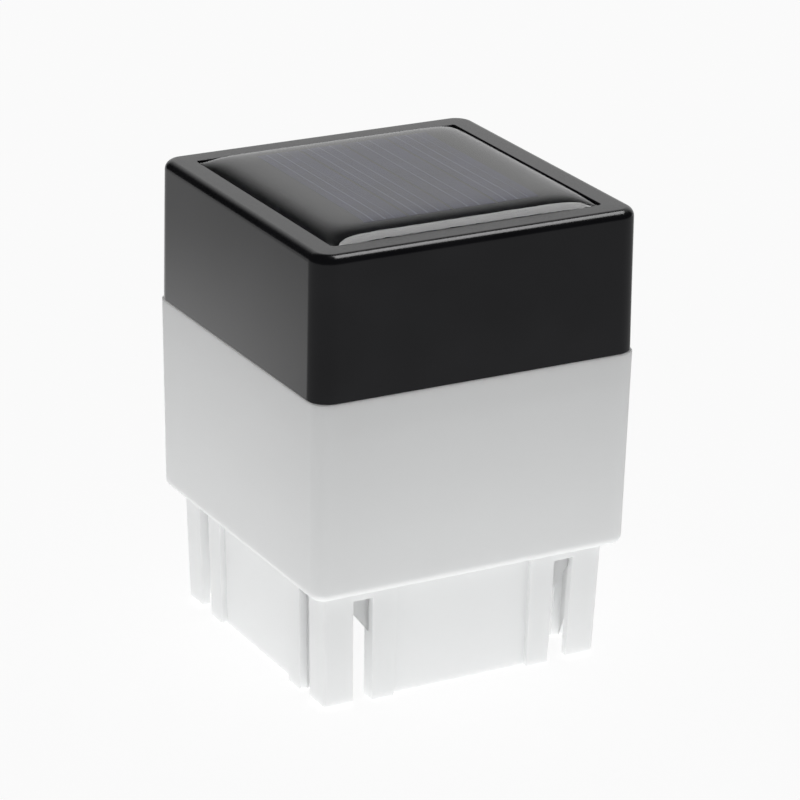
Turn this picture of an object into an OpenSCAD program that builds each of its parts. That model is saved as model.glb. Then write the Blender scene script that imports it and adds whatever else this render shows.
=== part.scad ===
// Square post cap light, in millimetres, +Z up, origin at the centre of the plug's foot.
// A dark cap carries a resin-domed solar panel. Its tray holds the battery, the circuit board
// and the lamps, and its collar pushes into a frosted diffuser. The diffuser's slotted plug
// pushes into a square post.

/* [Cap] */
// Width across the lower edge of the cap
cap_w = 60; // [54:0.5:68]
// Height of the cap, from the diffuser's rim to its own rim
cap_h = 24.8; // [23.5:0.1:32]
// How much each side of the cap leans in towards the top
cap_draft = 0.2; // [0:0.05:0.4]
// Radius of the cap's upright corners
cap_corner_r = 3.7; // [2:0.1:4.5]
// Radius of the edge round the cap's rim
cap_edge_r = 1.6; // [0.3:0.1:2]
// Thickness of the cap's walls and rim
cap_wall = 1.8; // [1.4:0.1:2.2]

/* [Solar panel] */
// Width of the rim between the cap's sides and the panel's recess
rim_w = 4.9; // [4.2:0.05:6]
// Gap between the panel and the wall of its recess
panel_gap = 0.4; // [0.15:0.05:0.6]
// Depth of the recess below the rim
recess_depth = 3.2; // [2.8:0.1:4]
// Radius of the recess's corners
recess_r = 0.6; // [0.3:0.1:1.2]
// Thickness of the recess's floor
recess_floor = 1.6; // [1.2:0.1:2.2]
// Thickness of the wall round the recess, inside the cap
recess_wall = 1.5; // [1.2:0.1:1.8]
// Thickness of the foam tape under the board
tape_t = 0.8; // [0.5:0.1:1.2]
// Width of each side of the tape's frame
tape_w = 4; // [3:0.5:6]
// How far the tape stays inside the board's edge
tape_inset = 1; // [0.5:0.5:2]
// Thickness of the backing board
panel_board_t = 1.2; // [0.8:0.1:1.6]
// Number of cell strips
cell_count = 4; // [2:1:4]
// Width of one cell strip
cell_w = 7.7; // [6:0.1:8.2]
// Length of one cell strip
cell_l = 38.6; // [30:0.2:40]
// Thickness of a cell strip
cell_t = 0.25; // [0.2:0.05:0.4]
// Gap between two cell strips
cell_gap = 0.5; // [0.3:0.1:0.8]
// How far the cells sit to the right of the board's middle
cell_shift_x = 0.5; // [-3:0.5:3]
// How far the cells sit behind the board's middle
cell_shift_y = 1; // [-3:0.5:3]
// Width of a tinned ribbon
ribbon_w = 0.4; // [0.3:0.05:0.6]
// Thickness of a ribbon
ribbon_t = 0.15; // [0.1:0.05:0.2]
// Thickness of the resin at the panel's edge
resin_edge = 0.9; // [0.6:0.1:1.4]
// Rise of the resin from its edge to its middle
resin_crown = 1.9; // [1:0.1:2.4]
// Distance from the edge over which most of that rise happens
resin_shoulder = 1.8; // [1:0.1:4]
// Length of the slot in the recess floor that the leads go through
lead_slot_l = 9; // [6:0.5:12]
// Width of that slot
lead_slot_w = 4; // [3:0.5:6]

/* [Diffuser] */
// Height of the frosted body, from the shoulder to the rim
body_h = 34.8; // [30:0.2:50]
// How far the body's rim is set back from the cap's lower edge
body_setback = 0.05; // [0:0.05:0.3]
// How much each side of the body leans in towards the shoulder
body_draft = 0.45; // [0:0.05:0.8]
// Radius of the body's upright corners
body_corner_r = 2.6; // [1.8:0.1:3.4]
// Radius of the edge round the body's foot
body_foot_r = 1.6; // [0.6:0.1:2.2]
// Thickness of the body's walls
body_wall = 1.8; // [1.4:0.1:2.2]
// Thickness of the shoulder that joins the body to the plug
shoulder_t = 1.8; // [1.4:0.1:2.6]

/* [Plug] */
// Width of the shoulder round the plug
shoulder_w = 3; // [2.8:0.1:5]
// Length of the plug
plug_h = 21; // [14:0.5:30]
// How much each side of the plug leans in towards its foot
plug_draft = 0.66; // [0.2:0.02:1]
// Thickness of the plug's walls
plug_wall = 1.5; // [1.2:0.1:2]
// Outer radius of the plug's corners
plug_corner_r = 0.65; // [0.3:0.05:1]
// Length of each leg of a corner post
post_leg = 5.4; // [4.5:0.1:7]
// How much shorter the corner posts are than the side panels
post_short = 0.45; // [0.2:0.05:1.5]
// Width of a slot
slot_w = 3.5; // [2.5:0.1:4]
// Height of the unslotted band under the shoulder
slot_band = 2.05; // [1.5:0.05:4]
// How far the middle of a side panel is set back
pane_step = 1; // [0.5:0.1:1.4]
// Thickness of the middle of a side panel
pane_t = 1.4; // [1:0.1:1.8]
// Width of the proud strip at each end of a side panel
strip_w = 4.2; // [3:0.1:6]
// Depth of the flange at each end of a side panel
flange_d = 3; // [2:0.1:4]

/* [Tray] */
// Depth that the tray's collar reaches into the diffuser
collar_h = 6.3; // [4:0.1:9]
// Height of the tray
tray_h = 12; // [11:0.1:12.6]
// Thickness of the tray's floor
tray_floor = 1.8; // [1.6:0.1:2.4]
// Thickness of the tray's rim
tray_wall = 1.6; // [1.2:0.1:2]
// Radius of the tray's outer corners
tray_corner_r = 2; // [1.6:0.1:2.6]
// Gap between the collar and the diffuser at the collar's lower edge
collar_gap = 0.08; // [0.05:0.01:0.2]
// Chamfer round the collar's lower edge
collar_chamfer = 0.6; // [0.3:0.1:0.8]
// Lead-in round the inside of the diffuser's rim
rim_lead = 0.4; // [0.2:0.1:0.8]
// Distance of each tray screw from the tray's sides
screw_inset = 5.4; // [5.2:0.1:6]
// Diameter of the screw columns of the tray
column_d = 7.2; // [6.8:0.1:7.4]
// Depth of the well that sinks each screw's head
screw_well = 8.4; // [6:0.1:9]
// Diameter of the screw bosses of the cap
boss_d = 6; // [5:0.1:7]
// Depth of the screw bosses' holes past the screws' tips
hole_spare = 1; // [0.5:0.1:2]
// Thickness of the web that ties each boss to its corner
web_t = 1.4; // [1:0.1:2]
// Width of the stop rib at the middle of each side of the cap
stop_w = 6; // [3:0.5:10]
// Thickness of the stop rib
stop_t = 1.6; // [1:0.1:2]

/* [Tray screws] */
// Diameter of a tray screw's thread
screw_d = 2.6; // [2.2:0.1:3]
// Length of a tray screw under its head
screw_l = 12; // [8:0.5:12.5]
// Diameter of a tray screw's head
screw_head_d = 5; // [4.4:0.1:5.4]
// Height of a tray screw's head
screw_head_h = 1.8; // [1.4:0.1:2.2]
// Gap round a screw's thread and head
screw_gap = 0.05; // [0.03:0.01:0.1]

/* [Battery] */
// Diameter of the cell in its sleeve
battery_d = 10.5; // [10:0.1:10.8]
// Length of the cell over its button
battery_l = 30; // [28:0.5:34]
// Thickness of the cell's sleeve
sleeve_t = 0.2; // [0.15:0.05:0.3]
// Diameter of the cell's button
button_d = 3.8; // [3:0.1:5]
// Height of the cell's button
button_h = 0.9; // [0.6:0.1:1.2]
// Distance of the cell's axis from the tray's front side
battery_setback = 17.4; // [16.6:0.1:17.6]
// Gap round the cell in its bay
battery_gap = 0.3; // [0.2:0.05:0.5]
// Gap between the cell and the door that it lies on
cradle_gap = 0.2; // [0.15:0.05:0.3]
// Thickness of the bay's walls and roof
bay_wall = 1.2; // [1:0.1:1.6]

/* [Battery door] */
// Width of the ledge that the door's lip covers
lip_w = 1.8; // [1.2:0.1:2]
// Thickness of the door's lip
lip_t = 0.9; // [0.7:0.05:1.2]
// Gap round the door
door_gap = 0.2; // [0.15:0.05:0.3]
// Length of the spring tongue at the door's latch end
tongue_l = 7; // [4:0.5:10]
// Width of the spring tongue
tongue_w = 6; // [4:0.5:7]
// Width of the slits beside the tongue
slit_w = 0.7; // [0.5:0.1:1]
// Number of grip grooves across the tongue
groove_count = 4; // [2:1:5]
// Width of a grip groove
groove_w = 0.6; // [0.4:0.1:0.8]
// Depth of a grip groove
groove_d = 0.35; // [0.2:0.05:0.5]
// Thickness of each saddle that the cell lies in
saddle_t = 1.4; // [1:0.1:2]
// Height of the saddles
saddle_h = 2.2; // [1.5:0.1:3]
// Distance of each saddle from the middle of the door
saddle_x = 9; // [6:0.5:10]

/* [Contacts] */
// Thickness of the contact plates
contact_t = 0.4; // [0.3:0.05:0.5]
// Diameter of the round part of a contact plate
contact_d = 9.4; // [8:0.1:9.8]
// Width of a contact's solder tab
tab_w = 3; // [2:0.1:4]
// Height of a solder tab above the bay's roof
tab_h = 2.6; // [2:0.1:4]
// Gap round a solder tab in the roof
tab_gap = 0.2; // [0.1:0.05:0.3]
// Gap between the contacts and the cell's ends
contact_gap = 0.15; // [0.1:0.05:0.25]
// Diameter of the spring's wire
spring_wire = 0.5; // [0.4:0.05:0.6]
// Length of the spring between its plate and the cell
spring_l = 4.1; // [3.8:0.1:5]
// Number of turns of the spring
spring_turns = 3; // [2:0.5:3]
// Radius of the spring at its plate
spring_r_plate = 3.6; // [3:0.1:4]
// Radius of the spring at the cell
spring_r_cell = 2.2; // [1.6:0.1:2.6]

/* [Circuit board] */
// Distance of each end of the board from the tray's side
board_end = 8; // [7.6:0.1:9]
// Width of the board
board_w = 15; // [13:0.5:17]
// Thickness of the board
board_t = 1.2; // [1:0.1:1.6]
// Distance of the board's rear edge from the tray's rear side
board_back = 8.5; // [8.3:0.1:9.4]
// Height of the board above the tray's floor
board_gap = 4.6; // [4.4:0.1:6]
// Distance of each board post from the board's end
post_inset = 3; // [2.6:0.1:3.4]
// Diameter of a board post
post_d = 4.6; // [4:0.1:5]
// Diameter of a board screw's thread
board_screw_d = 2; // [1.6:0.1:2.2]
// Length of a board screw under its head
board_screw_l = 5; // [4:0.5:6]
// Diameter of a board screw's head
board_screw_head_d = 3.8; // [3.4:0.1:4.2]
// Height of a board screw's head
board_screw_head_h = 1.4; // [1:0.1:1.6]

/* [Lamps] */
// Distance of each lamp from the board post beside it
lamp_spacing = 6.5; // [6:0.1:7.2]
// Diameter of a lamp's head
lamp_d = 4.8; // [4:0.1:5]
// Diameter of a lamp's flange
lamp_flange_d = 5.8; // [5.4:0.1:6.2]
// Height of a lamp's flange
lamp_flange_h = 1; // [0.8:0.1:1.2]
// Length of the straight part of a lamp's head
lamp_body_h = 2.6; // [2:0.1:3.4]
// Height of the dome on a lamp's head
lamp_dome_h = 1.5; // [1:0.1:2]
// Gap round a lamp's head in the floor
lamp_gap = 0.1; // [0.08:0.01:0.2]
// Distance between the two legs of a lamp
leg_pitch = 2.54; // [2:0.01:2.54]
// Diameter of a lamp's legs
leg_d = 0.5; // [0.4:0.05:0.6]
// Height of the legs above the board
leg_end = 1; // [0.6:0.1:1.6]
// Diameter of the board's holes for legs
leg_hole_d = 0.8; // [0.7:0.05:1]

/* [Switch] */
// Length of the switch's can
can_l = 8.6; // [8:0.1:10]
// Width of the switch's can
can_w = 4.4; // [3.8:0.1:5]
// Thickness of the can's walls
can_wall = 0.8; // [0.6:0.05:1]
// Travel of the knob
switch_travel = 2; // [1.5:0.1:2.4]
// Length of the knob's stem along its travel
knob_l = 2.2; // [1.8:0.1:2.4]
// Width of the knob's stem
knob_w = 1.7; // [1.4:0.1:2]
// Height of the knob below the tray's floor
knob_reach = 1.8; // [1:0.1:2.4]
// Length of the knob's foot inside the can
knob_foot_l = 3.6; // [3.2:0.1:4]
// Height of the knob's foot
knob_foot_h = 1.4; // [1:0.1:1.8]
// Gap round the knob
knob_gap = 0.2; // [0.15:0.05:0.3]

/* [Board parts] */
// Length of the controller chip
chip_l = 4.9; // [4:0.1:6]
// Width of the controller chip
chip_w = 3.9; // [3:0.1:4]
// Height of the controller chip
chip_h = 1.4; // [1:0.1:1.8]
// Number of pins on each side of the chip
chip_pins = 4; // [2:1:4]
// Length of the choke's body
choke_l = 7; // [5:0.5:9]
// Diameter of the choke's body
choke_d = 3; // [2.4:0.1:3.2]
// Height of the choke's axis above the board
choke_lift = 1.9; // [1.9:0.1:3]
// Distance of the choke's axis behind the board's middle
choke_y = 4.8; // [4.7:0.1:5.4]

/* [Leads] */
// Diameter of a lead over its insulation
lead_d = 1.2; // [0.8:0.1:1.4]
// Number of sides of a lead
lead_sides = 8; // [6:1:12]

/* [Hidden] */

$fn = 48;
cut = 1;             // how far a cutter runs past the face it opens
corner_steps = 8;    // facets in a quarter circle of a drafted corner
edge_steps = 5;      // facets across a drafted shell's rounded edge
corner_ease = 0.6;   // how much sharper the walls' inner corners are than the tray's
pin_w = 0.4;         // width of a chip's pin
pin_t = 0.2;         // thickness of a chip's pin
pin_l = 0.9;         // length of a chip's pin beyond its body
pin_pitch = 1.27;    // distance between two pins
choke_leg_d = 0.6;   // diameter of the choke's legs
choke_leg_x = 1.5;   // distance from the choke's body to the bend of its leg
head_room = 0.4;     // gap between a tray screw's head and its well
shank_room = 0.2;    // gap round a tray screw's thread in the tray
sleeve_gap = 0.02;   // gap between the cell's can and its sleeve

// Levels
shoulder_z = plug_h;
rim_z = plug_h + body_h;
top_z = rim_z + cap_h;
tray_z = rim_z - collar_h;
floor_z = tray_z + tray_floor;
tray_top_z = tray_z + tray_h;
recess_z = top_z - recess_depth;
roof_z = recess_z - recess_floor;
boss_hole = screw_well + screw_l - tray_h + hole_spare;
board_z = floor_z + board_gap;
board_top_z = board_z + board_t;
panel_z = recess_z + tape_t;
panel_top_z = panel_z + panel_board_t;

// Widths
cap_top_w = cap_w - 2 * cap_draft;
body_w = cap_w - 2 * body_setback;
body_foot_w = body_w - 2 * body_draft;
body_in_w = body_w - 2 * body_wall;
body_in_foot_w = body_foot_w - 2 * body_wall;
collar_edge_w = body_in_w - (body_in_w - body_in_foot_w) * collar_h / body_h;
tray_w = collar_edge_w - 2 * collar_gap;
screw_place = tray_w / 2 - screw_inset;
body_in_r = tray_corner_r - corner_ease;
cap_in_w = cap_w - 2 * cap_wall;
recess_w = cap_top_w - 2 * rim_w;
panel_w = recess_w - 2 * panel_gap;
cap_in_roof_w = cap_in_w - 2 * cap_draft * (roof_z - rim_z) / cap_h;
plug_w = body_foot_w - 2 * shoulder_w;
plug_foot_w = plug_w - 2 * plug_draft;
plug_growth = plug_w / plug_foot_w;
panel_half = plug_foot_w / 2 - post_leg - slot_w;
pane_half = panel_half - strip_w;

// Battery and its bay
bay_r = battery_d / 2 + battery_gap;
bay_l = contact_t + spring_l + battery_l + contact_gap + contact_t;
battery_y = tray_w / 2 - battery_setback;
battery_z = floor_z + cradle_gap + battery_d / 2;
contact_left_x = -bay_l / 2;
contact_right_x = bay_l / 2 - contact_t;
battery_start_x = contact_left_x + contact_t + spring_l;
contact_top_z = battery_z + bay_r + bay_wall + tab_h;
door_l = bay_l + 2 * lip_w;
door_w = 2 * bay_r + 2 * lip_w;

// Circuit board and lamps
board_l = tray_w - 2 * board_end;
board_y = tray_w / 2 - board_back - board_w / 2;
post_x = board_l / 2 - post_inset;
lamp_x = post_x - lamp_spacing;

// Leads: each route's points are [x, y, z]
solder_z = contact_top_z - 1;
panel_red_route = [[-2, 9, panel_z], [-2, 9, panel_z - 3], [-3, 9.5, panel_z - 7],
    [-7, 10.5, board_top_z + 8], [-9, 10.5, board_top_z + 4], [-9, 10.5, board_top_z + 1.5],
    [-9, 10.5, board_top_z]];
panel_black_route = [[2, 9, panel_z], [2, 9, panel_z - 3], [2.5, 9.5, panel_z - 6],
    [5.5, 9, board_top_z + 8.5], [8, 8.5, board_top_z + 4], [8, 8.5, board_top_z + 1.5],
    [8, 8.5, board_top_z]];
battery_red_route = [[contact_right_x, -battery_y, solder_z],
    [contact_right_x - 1.5, -battery_y, solder_z], [14, -8.5, solder_z + 0.5],
    [13, -3, solder_z - 1], [14, 3, board_top_z + 5], [14.5, 6.5, board_top_z + 3],
    [14.5, 6.5, board_top_z + 1.5], [14.5, 6.5, board_top_z]];
battery_black_route = [[contact_left_x + contact_t, -battery_y, solder_z],
    [contact_left_x + contact_t + 1.5, -battery_y, solder_z], [-14, -8.5, solder_z + 0.5],
    [-13, -3, solder_z - 1], [-14, 3, board_top_z + 5], [-14.5, 6.5, board_top_z + 3],
    [-14.5, 6.5, board_top_z + 1.5], [-14.5, 6.5, board_top_z]];
route_steps = 3;     // rings of a lead between two points of its route

// ---- Shared shapes ----

// One closed ring of points round a square of width w with corner radius r, at height z
function ring(w, r, z) = [for (c = [0:3], i = [0:corner_steps])
    let (a = 90 * c + 90 * i / corner_steps, m = 90 * c + 45)
    [sign(cos(m)) * (w / 2 - r) + r * cos(a), sign(sin(m)) * (w / 2 - r) + r * sin(a), z]];

// Solid through sections of [height, width, corner radius], from the lowest to the highest
module loft(sections) {
    n = 4 * (corner_steps + 1);
    last = (len(sections) - 1) * n;
    points = [for (s = sections) each ring(s[1], s[2], s[0])];
    sides = [for (k = [0:len(sections) - 2], j = [0:n - 1])
        [k * n + j, (k + 1) * n + j, (k + 1) * n + (j + 1) % n, k * n + (j + 1) % n]];
    foot = [[for (j = [0:n - 1]) j]];
    head = [[for (j = [n - 1:-1:0]) last + j]];
    polyhedron(points, concat(foot, sides, head), convexity = 4);
}

// Flat square of width w with rounded corners
module rounded_square(w, r) {
    square([w - 2 * r, w], center = true);
    square([w, w - 2 * r], center = true);
    for (x = [-1, 1], y = [-1, 1])
        translate([x * (w / 2 - r), y * (w / 2 - r)]) circle(r);
}

// Flat bar with round ends along X
module slot_shape(l, w) {
    square([l - w, w], center = true);
    for (x = [-1, 1]) translate([x * (l - w) / 2, 0]) circle(d = w);
}

function unit(v) = v / norm(v);

// Point on a smooth curve through four neighbouring points
function between(a, b, c, d, t) =
    0.5 * (2 * b + (c - a) * t + (2 * a - 5 * b + 4 * c - d) * t * t
        + (3 * b - a - 3 * c + d) * t * t * t);

// Smooth path through a route's points, with its first and last stretches straight
function smooth(p) = let (n = len(p) - 1) concat([p[0]],
    [for (i = [1:n - 2], s = [0:route_steps - 1])
        between(p[i - 1], p[i], p[i + 1], p[i + 2], s / route_steps)],
    [p[n - 1], p[n]]);

// Tube of radius r along a path. No stretch of the path runs along the side vector.
module tube(path, r, sides, side) {
    n = len(path);
    rings = [for (i = [0:n - 1])
        let (t = unit(path[min(i + 1, n - 1)] - path[max(i - 1, 0)]),
            u = unit(cross(t, side)), v = cross(t, u))
        each [for (k = [0:sides - 1])
            path[i] + r * (cos(360 * k / sides) * u + sin(360 * k / sides) * v)]];
    walls = [for (i = [0:n - 2], k = [0:sides - 1])
        let (a = i * sides + k, b = i * sides + (k + 1) % sides)
        each [[a, a + sides, b + sides], [a, b + sides, b]]];
    first = [[for (k = [0:sides - 1]) k]];
    end = [[for (k = [sides - 1:-1:0]) (n - 1) * sides + k]];
    polyhedron(rings, concat(first, walls, end), convexity = 6);
}

// ---- Diffuser ----

// Section of the plug at its foot, before its slots and the set-back panes are cut
module plug_section() {
    half = plug_foot_w / 2;
    difference() {
        rounded_square(plug_foot_w, plug_corner_r, $fn = 24);
        square(plug_foot_w - 2 * plug_wall, center = true);
    }
    for (a = [0:90:270]) rotate(a) {
        translate([-pane_half - plug_wall, -half])
            square([2 * (pane_half + plug_wall), pane_step + pane_t]);
        for (m = [0, 1]) mirror([m, 0])
            translate([panel_half - pane_t, -half]) square([pane_t, flange_d]);
    }
}

// Cutter that sets back the middle of one side panel, along the plug's slanted side
module pane_cutter() {
    translate([0, pane_step - plug_foot_w / 2, 0]) rotate([atan(plug_draft / plug_h), 0, 0])
        translate([-pane_half, -cut - pane_step, -cut])
            cube([2 * pane_half, cut + pane_step, plug_h + shoulder_t + cut]);
}

// Cutter for one slot, which widens upwards as the plug does
module slot_cutter() {
    band_k = 1 + (plug_growth - 1) * (plug_h - slot_band) / plug_h;
    foot_k = 1 - (plug_growth - 1) * cut / plug_h;
    depth = plug_wall + plug_draft + flange_d / 2;
    translate([0, -plug_w / 2 + depth, 0]) rotate([90, 0, 0]) linear_extrude(depth + cut)
        polygon([[panel_half * foot_k, -cut], [(panel_half + slot_w) * foot_k, -cut],
            [(panel_half + slot_w) * band_k, plug_h - slot_band],
            [panel_half * band_k, plug_h - slot_band]]);
}

module plug() {
    root_h = plug_h + shoulder_t / 2;
    post_edge = panel_half + slot_w / 2;
    post_size = plug_w / 2 - post_edge + cut;
    difference() {
        linear_extrude(height = root_h, scale = 1 + (plug_growth - 1) * root_h / plug_h)
            plug_section();
        for (a = [0:90:270]) rotate(a) {
            pane_cutter();
            for (m = [0, 1]) mirror([m, 0, 0]) slot_cutter();
        }
        for (x = [-1, 1], y = [-1, 1])
            translate([x * (post_edge + post_size / 2), y * (post_edge + post_size / 2),
                    (post_short - cut) / 2])
                cube([post_size, post_size, post_short + cut], center = true);
    }
}

// Rounded foot of the body, as sections for loft()
foot_round = [for (i = [0:edge_steps])
    let (a = 90 * i / edge_steps, inset = body_foot_r * (1 - sin(a)))
    [shoulder_z + body_foot_r * (1 - cos(a)), body_foot_w - 2 * inset,
        body_corner_r - inset / 2]];

module diffuser() {
    color([0.93, 0.94, 0.94]) {
        plug();
        difference() {
            loft(concat(foot_round, [[rim_z, body_w, body_corner_r]]));
            loft([[shoulder_z + shoulder_t, body_in_foot_w, body_in_r],
                [rim_z - rim_lead, body_in_w, body_in_r],
                [rim_z + cut, body_in_w + 2 * (rim_lead + cut), body_in_r]]);
            translate([0, 0, shoulder_z - cut]) linear_extrude(shoulder_t + 2 * cut)
                square(plug_w - 2 * plug_wall * plug_growth, center = true);
        }
    }
}

// ---- Cap ----

// Rounded rim of the cap, as sections for loft()
rim_round = [for (i = [0:edge_steps])
    let (a = 90 * i / edge_steps, inset = cap_edge_r * (1 - cos(a)))
    [top_z - cap_edge_r * (1 - sin(a)), cap_top_w - 2 * inset, cap_corner_r - inset]];

module cap_shell() {
    difference() {
        loft(concat([[rim_z, cap_w, cap_corner_r]], rim_round));
        loft([[rim_z - cut, cap_in_w, body_in_r], [roof_z, cap_in_roof_w, body_in_r]]);
        translate([0, 0, recess_z]) linear_extrude(recess_depth + cut)
            rounded_square(recess_w, recess_r);
        // Groove that keeps the rim as thin as the walls
        translate([0, 0, roof_z - cut]) linear_extrude(top_z - cap_wall - roof_z + cut)
            difference() {
                rounded_square(cap_in_roof_w, body_in_r);
                rounded_square(recess_w + 2 * recess_wall, recess_r + recess_wall);
            }
        translate([0, panel_red_route[0][1], roof_z - cut])
            linear_extrude(recess_floor + 2 * cut) slot_shape(lead_slot_l, lead_slot_w);
    }
}

// Hollow boss for a tray screw, with the web that ties it to its corner
module cap_boss() {
    web_l = (cap_in_roof_w / 2 - screw_place) * sqrt(2);
    difference() {
        union() {
            cylinder(h = roof_z - tray_top_z + cut / 2, d = boss_d);
            rotate(45) translate([0, -web_t / 2, 0])
                cube([web_l, web_t, roof_z - tray_top_z + cut / 2]);
        }
        translate([0, 0, -cut]) cylinder(h = boss_hole + cut, d = screw_d + 2 * screw_gap);
    }
}

module cap_housing() {
    color([0.09, 0.09, 0.1]) union() {
        cap_shell();
        for (a = [0:90:270]) rotate(a) {
            translate([screw_place, screw_place, tray_top_z]) cap_boss();
            translate([cap_in_roof_w / 2 - stop_t, -stop_w / 2, tray_top_z])
                cube([stop_t + cap_wall / 2, stop_w, roof_z - tray_top_z + cut / 2]);
        }
    }
}

// ---- Solar panel ----

module panel_tape() {
    tape_out = panel_w - 2 * tape_inset;
    color([0.16, 0.16, 0.16]) translate([0, 0, recess_z]) linear_extrude(tape_t)
        difference() {
            square(tape_out, center = true);
            square(tape_out - 2 * tape_w, center = true);
        }
}

module panel_board() {
    color([0.08, 0.1, 0.09]) translate([-panel_w / 2, -panel_w / 2, panel_z])
        cube([panel_w, panel_w, panel_board_t]);
}

cell_pitch = cell_w + cell_gap;
function cell_x(i) = cell_shift_x + (i - (cell_count - 1) / 2) * cell_pitch;

module solar_cells() {
    color([0.16, 0.18, 0.3]) for (i = [0:cell_count - 1])
        translate([cell_x(i) - cell_w / 2, cell_shift_y - cell_l / 2, panel_top_z])
            cube([cell_w, cell_l, cell_t]);
}

// Places of each cell's ribbons, from the cell's middle
ribbon_places = [[-2.25, -0.1, 1.55], [-2.5, -0.5, 1.6], [-1.3, 0.9], [-2.2, -0.15, 1.9]];

// Bars at all the ribbons' places, from a depth below the cells' upper face to the ribbons'
module ribbon_bars(depth) {
    for (i = [0:cell_count - 1], x = ribbon_places[i])
        translate([cell_x(i) + x - ribbon_w / 2, cell_shift_y - cell_l / 2,
                panel_top_z + cell_t - depth])
            cube([ribbon_w, cell_l, depth + ribbon_t]);
}

module cell_ribbons() {
    color([0.75, 0.77, 0.82]) ribbon_bars(0);
}

// Share of the resin's rise at a place u, from -1 at one edge to 1 at the other
function dome(u) = 1 - exp(-panel_w / 2 * (1 - abs(u)) / resin_shoulder);
dome_steps = 12;
dome_at = [for (i = [-dome_steps:dome_steps]) sin(90 * i / dome_steps)];

module resin_block() {
    n = len(dome_at);
    base = n * n;
    half = panel_w / 2;
    top = [for (v = dome_at, u = dome_at)
        [half * u, half * v, panel_top_z + resin_edge + resin_crown * dome(u) * dome(v)]];
    foot = [[-half, -half, panel_top_z], [half, -half, panel_top_z],
        [half, half, panel_top_z], [-half, half, panel_top_z]];
    skin = [for (j = [0:n - 2], i = [0:n - 2]) let (a = j * n + i)
        each [[a, a + n + 1, a + 1], [a, a + n, a + n + 1]]];
    walls = [
        concat([base + 1, base], [for (i = [0:n - 1]) i]),
        concat([base + 2, base + 1], [for (i = [0:n - 1]) i * n + n - 1]),
        concat([base + 3, base + 2], [for (i = [n - 1:-1:0]) base - n + i]),
        concat([base, base + 3], [for (i = [n - 1:-1:0]) i * n])];
    polyhedron(concat(top, foot), concat(skin, walls, [[base, base + 1, base + 2, base + 3]]),
        convexity = 4);
}

module panel_resin() {
    color([0.2, 0.21, 0.25, 0.6]) difference() {
        resin_block();
        for (i = [0:cell_count - 1])
            translate([cell_x(i) - cell_w / 2, cell_shift_y - cell_l / 2, panel_top_z - cut])
                cube([cell_w, cell_l, cut + cell_t]);
        ribbon_bars(cell_t / 2);
    }
}

// ---- Tray ----

// Cross-section of the bay: upright walls and an arched roof round the cell's axis
module bay_shape(r, foot) {
    circle(r);
    translate([-r, -foot]) square([2 * r, foot]);
}

// Places a shape drawn across the cell's axis and runs it along X from -l / 2 to l / 2
module along_cell(l) {
    translate([-l / 2, -battery_y, battery_z]) rotate([90, 0, 90]) linear_extrude(l) children();
}

module base_tray() {
    door_seat_l = door_l + 2 * door_gap;
    door_seat_w = door_w + 2 * door_gap;
    inner_w = tray_w - 2 * tray_wall;
    color([0.12, 0.12, 0.13]) difference() {
        union() {
            difference() {
                loft([[tray_z, tray_w - 2 * collar_chamfer, tray_corner_r - collar_chamfer],
                    [tray_z + collar_chamfer, tray_w, tray_corner_r],
                    [tray_top_z, tray_w, tray_corner_r]]);
                translate([0, 0, floor_z]) linear_extrude(tray_h)
                    rounded_square(inner_w, tray_corner_r - tray_wall / 2);
            }
            for (x = [-1, 1], y = [-1, 1])
                translate([x * screw_place, y * screw_place, tray_z])
                    cylinder(h = tray_h, d = column_d);
            along_cell(bay_l + 2 * bay_wall)
                bay_shape(bay_r + bay_wall, battery_z - floor_z + tray_floor / 2);
            for (x = [-1, 1]) translate([x * post_x, board_y, tray_z])
                cylinder(h = tray_floor + board_gap, d = post_d);
        }
        for (x = [-1, 1], y = [-1, 1]) translate([x * screw_place, y * screw_place, tray_z]) {
            translate([0, 0, -cut]) cylinder(h = screw_well + cut, d = screw_head_d + 2 * head_room);
            cylinder(h = tray_h + cut, d = screw_d + 2 * shank_room);
        }
        along_cell(bay_l) bay_shape(bay_r, battery_z - tray_z + cut);
        translate([-door_seat_l / 2, -battery_y - door_seat_w / 2, tray_z - cut])
            cube([door_seat_l, door_seat_w, cut + lip_t + door_gap / 2]);
        // Slots for the contacts' solder tabs
        for (x = [contact_left_x, contact_right_x])
            translate([x - tab_gap, -battery_y - tab_w / 2 - tab_gap, battery_z])
                cube([contact_t + 2 * tab_gap, tab_w + 2 * tab_gap, bay_r + bay_wall + cut]);
        for (x = [-1, 1]) {
            translate([x * post_x, board_y, floor_z])
                cylinder(h = board_gap + cut, d = board_screw_d + 2 * screw_gap);
            translate([x * lamp_x, board_y, tray_z - cut])
                cylinder(h = tray_floor + 2 * cut, d = lamp_d + 2 * lamp_gap);
        }
        translate([0, board_y, tray_z - cut]) linear_extrude(tray_floor + 2 * cut)
            square([knob_l + switch_travel + 4 * knob_gap, knob_w + 4 * knob_gap], center = true);
    }
}

// Pan-head screw with its head at the foot, pointing up
module pan_screw(d, l, head_d, head_h) {
    rotate_extrude() {
        square([d / 2, head_h + l - d / 2]);
        translate([0, head_h + l - d / 2]) polygon([[0, 0], [d / 2, 0], [d / 5, d / 2], [0, d / 2]]);
        polygon([[0, 0], [head_d / 2 - head_h / 3, 0], [head_d / 2, head_h / 2],
            [head_d / 2, head_h], [0, head_h]]);
    }
}

// Cross recess in a screw's head
module cross_recess(head_d, depth) {
    arm_l = head_d * 0.56;
    arm_w = head_d * 0.12;
    for (a = [0, 90]) rotate(a) translate([-arm_l / 2, -arm_w / 2, -cut])
        cube([arm_l, arm_w, cut + depth]);
}

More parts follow.
